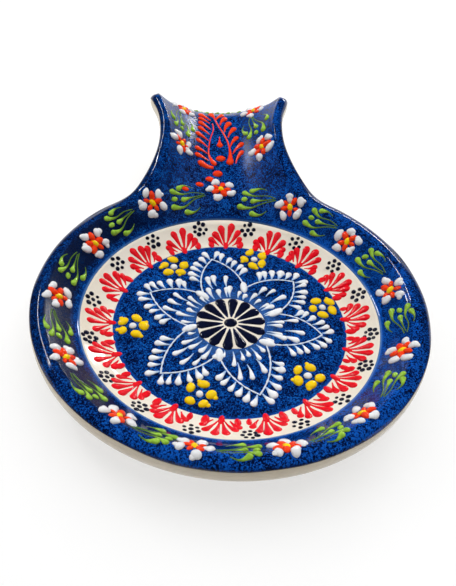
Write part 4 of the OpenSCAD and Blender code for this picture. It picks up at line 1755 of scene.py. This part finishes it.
@dataclass
class Garland(Painting):
    """Daisies and leaf sprays; the sprays' heads point to the spots' own directions."""

    name: str
    daisies: list[Spot]
    sprays: list[tuple[Spot, float]]
    beads: Sequence[tuple[float, float, float]] = ()
    strokes: tuple = (
        (((-7.6, -2.2), (-3.0, -3.3), (1.6, -2.7), (5.0, -3.9)), 1.28, 0.2, 5.0),
        (((-7.8, -1.2), (-2.8, 0.2), (1.8, 2.7), (5.8, 2.7)), 1.36, 0.2, 5.0),
        (((-6.8, -1.7), (-2.4, -1.0), (1.2, -0.4)), 1.2, 0.22, 4.0),
        (((4.6, -0.7), (5.0, -0.5)), 1.1, None, 1.5),
        (((-3.6, -5.4), (-0.8, -6.3), (2.2, -5.3)), 1.22, 0.18, 2.4),
        (((-4.6, 3.4), (-2.2, 4.9), (0.8, 5.0)), 1.28, 0.18, 2.2),
    )

    def spray(self, spot: Spot, share: float) -> list[Stroke]:
        """Draws the tendrils, commas and bead of one spray.

        Args:
            spot: Its middle, turned towards the heads.
            share: Its size as a share of the full size.

        Returns:
            Its strokes.
        """
        size = 0.5 + share / 2
        found = []
        for steps, r, tail, power in self.strokes:
            path = spot.path(*(
                (share * u + self.vary(-0.15, 0.15), share * v + self.vary(-0.15, 0.15))
                for u, v in steps
            ))
            taper = Taper.BEAD if tail is None else Taper.DROP
            found.append(Stroke(path, r * size, taper, tail or 0.0, power))
        return found

    def build(self) -> None:
        """Lays the garland."""
        petals, hearts, eyes, leaves = [], [], [], []
        for daisy in (Daisy(spot, self.vary) for spot in self.daisies):
            petals += daisy.petals()
            hearts += daisy.hearts()
            eyes.append(daisy.eye())
        for spot, share in self.sprays:
            leaves += self.spray(spot, share)
        for x, y, r in self.beads:
            leaves.append(Stroke([(x - 0.7, y - 0.3), (x + 0.5, y + 0.3)], r, tail=0.5))
        lumps = {"Sides": 12, "Lump_height": 0.5, "Lump_size": 1.6, "Seed": 6.0}
        for part, strokes, finish, node, looks in (
            ("petals", petals, "chalk", "daisy_petals", {"Dome": 0.68, **lumps}),
            ("hearts", hearts, "orange", "daisy_hearts", {"Lump_height": 0.3, "Seed": 7.0}),
            ("eyes", eyes, "yellow", "daisy_eyes", {"Dome": 0.85, "Sides": 10}),
            ("leaves", leaves, "leaf", "leaf_sprays", {}),
        ):
            self.brush.trail(f"{self.name}_{part}", strokes, finish, f"{self.name}_{node}", **looks)


@dataclass
class GarlandPlan:
    """Where the two garlands lie."""

    brush: Enameller
    border: tuple = (
        (90.5, 66.8), (117.7, 62.2), (147.6, 59.8), (177.6, 60.8), (204.6, 61.0),
        (232.8, 61.9), (256, 62.5), (281, 62.3), (307, 61.8), (337.8, 60.8),
        (367.2, 59.7), (396.2, 59.4), (423.5, 61.2),
    )
    inwards: float = 0.6
    neck_inwards: float = 3.2
    tongue: tuple = ((-16.8, 84.4), (17.2, 83.4), (-15.5, 112.6), (16.2, 112.7))
    leaves: tuple = (((-16.3, 98.6), 1.08), ((16.2, 98.8), 1.12))
    border_seed: int = 41
    tongue_seed: int = 43

    def border_garland(self) -> Garland:
        """Lays out daisies all round the border, with a spray between each two.

        Returns:
            The garland.
        """
        daisies = [Spot(self.brush.surface, polar(r, a), a) for a, r in self.border]
        last = len(self.border) - 1
        sprays = []
        for k, (a, r) in enumerate(self.border):
            b, q = self.border[(k + 1) % (last + 1)]
            middle = (a + b + (360 if b < a else 0)) / 2
            reach = (r + q) / 2 - (self.inwards if 0 < k < last else self.neck_inwards)
            share = 0.94 if 110 < middle < 430 else 1.05
            sprays.append((Spot(self.brush.surface, polar(reach, middle), middle + 90), share))
        return Garland(self.brush, self.border_seed, "border", daisies, sprays)

    def tongue_garland(self) -> Garland:
        """Lays out four daisies, two sprays and the crest's beads on the tongue.

        Returns:
            The garland.
        """
        daisies = [Spot(self.brush.surface, place, 90) for place in self.tongue]
        sprays = [(Spot(self.brush.surface, place, -90), share) for place, share in self.leaves]
        beads = [
            (2.5 * k - 10.0, 119.4 + 0.9 * math.sin(2.1 * k), 0.72 + 0.2 * math.cos(3 * k))
            for k in range(9)
        ]
        return Garland(self.brush, self.tongue_seed, "tongue", daisies, sprays, beads)


@dataclass
class Feather(Painting):
    """The red feather on the tongue with the dots that lead down to the dish."""

    stems: tuple = (
        (1.35, (
            (-2.7, 107.2), (-2.4, 103.6), (-3.8, 97.5), (-4.9, 90.6),
            (-5.1, 85.9), (-4.2, 83.2), (-3.1, 81.4),
        )),
        (1.75, (
            (-2.0, 113.0), (-0.9, 108.7), (1.6, 101.4), (3.9, 92.8), (4.3, 86.4), (4.0, 82.2),
        )),
    )
    strokes: tuple = (
        (-3.4, 109.6, -7.6, 112.8), (-4.0, 107.2, -7.9, 109.4), (-3.8, 102.8, -7.9, 105.8),
        (-4.4, 99.0, -8.2, 101.8), (-5.1, 94.8, -9.3, 97.0), (-5.5, 90.4, -9.4, 92.6),
        (-5.6, 86.2, -9.9, 87.5), (-5.4, 82.4, -10.0, 83.6), (-1.0, 111.0, -2.9, 115.2),
        (-0.9, 110.4, 1.8, 114.6), (0.8, 106.4, 2.9, 111.0), (2.5, 101.4, 4.5, 106.8),
        (3.9, 97.4, 6.5, 102.2), (4.6, 91.2, 7.2, 95.6), (5.4, 86.6, 9.0, 90.6),
        (6.4, 80.8, 8.9, 85.8),
    )
    dots: tuple = (
        (0.0, 84.2, 1.7), (-1.6, 75.9, 1.75), (-5.1, 72.4, 1.45), (-9.5, 68.4, 1.35),
        (-15.6, 64.3, 1.1),
    )
    radius: float = 1.45

    def build(self) -> None:
        """Lays the stems, the strokes and the dots."""
        stems = [Stroke(stem, r, tail=0.22, power=9.0) for r, stem in self.stems]
        self.brush.trail("feather_stems", stems, "orange", "tongue_feather_stems", Dome=0.6)
        found = []
        for x0, y0, x, y in self.strokes:
            middle = ((x0 + x) / 2 - 0.06 * (y - y0), (y0 + y) / 2 + 0.5)
            r = self.radius * self.vary(0.9, 1.1)
            found.append(Stroke([(x0, y0), middle, (x, y)], r, power=1.7))
        found.append(Stroke([(-3.4, 79.0), (-6.0, 78.9), (-8.4, 79.6)], 1.7, tail=0.5))
        found.append(Stroke([(0.1, 98.3), (0.0, 95.2), (0.0, 92.7)], 1.5, tail=0.12, power=2.4))
        for x, y, r in self.dots:
            found.append(Stroke([(x - 0.4, y), (x + 0.4, y + 0.1)], r, Taper.BEAD))
        looks = {"Dome": 0.62, "Sides": 10}
        self.brush.trail("feather_strokes", found, "orange", "tongue_feather_strokes", **looks)


# Studio


@dataclass
class Lamp:
    """One soft lamp that faces the object, its direction seen from there, in metres."""

    name: str
    direction: tuple[float, float, float]
    distance: float
    size: Place
    watts: float
    roll: float = 0
    mirrored: bool = False

    def hang(self) -> None:
        """Hangs the lamp; only a narrow one is mirrored in the glaze."""
        data = bpy.data.lights.new(self.name, "AREA")
        data.shape, data.energy = "RECTANGLE", self.watts
        data.size, data.size_y = self.size
        made = bpy.data.objects.new(self.name, data)
        made.location = Vector(self.direction).normalized() * self.distance
        made.visible_glossy, made.visible_camera = self.mirrored, False
        turn = Quaternion((0, 0, 1), math.radians(self.roll))
        made.rotation_euler = (made.location.to_track_quat("Z", "Y") @ turn).to_euler()
        bpy.context.scene.collection.objects.link(made)


@dataclass
class Studio:
    """Floor, lamps and camera."""

    form: ClayForm
    elevation: float = 46.74
    turn: float = -7.7
    roll: float = 5.63
    distance: float = 263.5
    focal_px: float = 720.0
    aim_px: float = 31.0
    slide_px: tuple = (5.5, 0.15)
    clip: tuple = (0.01, 60.0)
    floor_reach: float = 8.0
    lamps: tuple = (
        Lamp("overhead", (0.2, 0.3, 1.0), 1.3, (1.9, 1.9), 22.3),
        Lamp("left", (-0.75, 0.10, 0.60), 1.3, (0.8, 0.8), 3.0),
        Lamp("front", (0.1, -0.9, 0.4), 1.5, (1.2, 0.8), 0.8),
        Lamp("strip", (0.475, 0.83, 0.3), 1.26, (0.03, 0.38), 2.7, 90, True),
        Lamp("glint", (-0.542, 0.550, 0.636), 1.16, (0.022, 0.42), 2.0, -34, True),
    )

    def camera(self) -> None:
        """Puts the camera where the photograph was taken from."""
        e, a = math.radians(self.elevation), math.radians(self.turn)
        pitch = e - math.atan(self.aim_px / self.focal_px)
        roll = math.radians(self.roll)
        forward = Vector((-math.sin(a), math.cos(a), 0))
        up_z = Vector((0, 0, 1))
        eye = self.distance * (up_z * math.sin(e) - forward * math.cos(e))
        ahead = forward * math.cos(pitch) - up_z * math.sin(pitch)
        right = Vector((math.cos(a), math.sin(a), 0))
        up = right.cross(ahead)
        side = right * math.cos(roll) + up * math.sin(roll)
        high = up * math.cos(roll) - right * math.sin(roll)
        data = bpy.data.cameras.new("camera")
        data.lens = self.focal_px / IMAGE_H * data.sensor_width
        data.shift_x, data.shift_y = -self.slide_px[0] / IMAGE_H, self.slide_px[1] / IMAGE_H
        data.clip_start, data.clip_end = self.clip
        camera = bpy.data.objects.new("camera", data)
        place = Matrix.Translation((eye + Vector(self.form.shift)) * MM)
        camera.matrix_world = place @ Matrix((side, high, -ahead)).transposed().to_4x4()
        bpy.context.scene.collection.objects.link(camera)
        bpy.context.scene.camera = camera

    def floor(self) -> None:
        """Lays the plain pale floor, white to the camera but for the object's shadow."""
        mesh = bpy.data.meshes.new("floor")
        r = self.floor_reach
        mesh.from_pydata([(-r, -r, 0), (r, -r, 0), (r, r, 0), (-r, r, 0)], [], [(0, 1, 2, 3)])
        material = bpy.data.materials.new("pale_floor")
        graph = Graph.of(material)
        seen = graph.seen()
        grey = graph.mix(seen, (0.8, 0.8, 0.8, 1.0), (0.36, 0.36, 0.36, 1.0))
        plain = graph.node("ShaderNodeBsdfDiffuse", {"Color": grey})
        place = graph.node("ShaderNodeTexCoord", output="Object")
        away = place.vector("LENGTH", (0.0, 0.0, 0.0), "Value")
        lit = seen * (away.step(0.25, 2.0) * 0.34 + 0.66)
        glow = graph.node("ShaderNodeEmission", {"Color": (1.0, 1.0, 1.0, 1.0), "Strength": lit})
        both = graph.node("ShaderNodeAddShader", {0: plain, 1: glow})
        graph.node("ShaderNodeOutputMaterial", {"Surface": both})
        mesh.materials.append(material)
        made = bpy.data.objects.new("floor", mesh)
        bpy.context.scene.collection.objects.link(made)

    def world(self) -> None:
        """Hangs a plain studio sky: white at the horizon and dimmer overhead."""
        made = bpy.data.worlds.new("studio")
        graph = Graph.of(made)
        high = graph.axes(graph.node("ShaderNodeTexCoord", output="Generated"))[2]
        level = 0.1 - high.step(0.02, 0.35) * 0.06 + graph.seen() * high.fall(0.1, 0.22) * 0.9
        sky = {"Color": (1.0, 1.0, 1.0, 1.0), "Strength": level}
        back = graph.node("ShaderNodeBackground", sky)
        graph.node("ShaderNodeOutputWorld", {"Surface": back})
        bpy.context.scene.world = made

    def build(self) -> None:
        """Sets up the studio."""
        self.floor()
        self.world()
        for lamp in self.lamps:
            lamp.hang()
        self.camera()
        bpy.context.scene.view_settings.view_transform = "Standard"


def main() -> None:
    """Builds the spoon rest and its studio."""
    logging.basicConfig(level=logging.INFO, format="%(message)s")
    form = ClayForm()
    finishes = Finishes(float(form.shift[1]))
    ClayAndCoats(form).build(finishes)
    brush = Enameller(form, GlazeSurface(form), finishes)
    plan = GarlandPlan(brush)
    for painting in (
        Rosette(brush, seed=4),
        CreamRingPainting(brush, seed=11),
        StarPainting(brush, seed=23),
        plan.border_garland(),
        plan.tongue_garland(),
        Feather(brush, seed=31),
    ):
        painting.build()
    Studio(form).build()


if __name__ == "__main__":
    main()
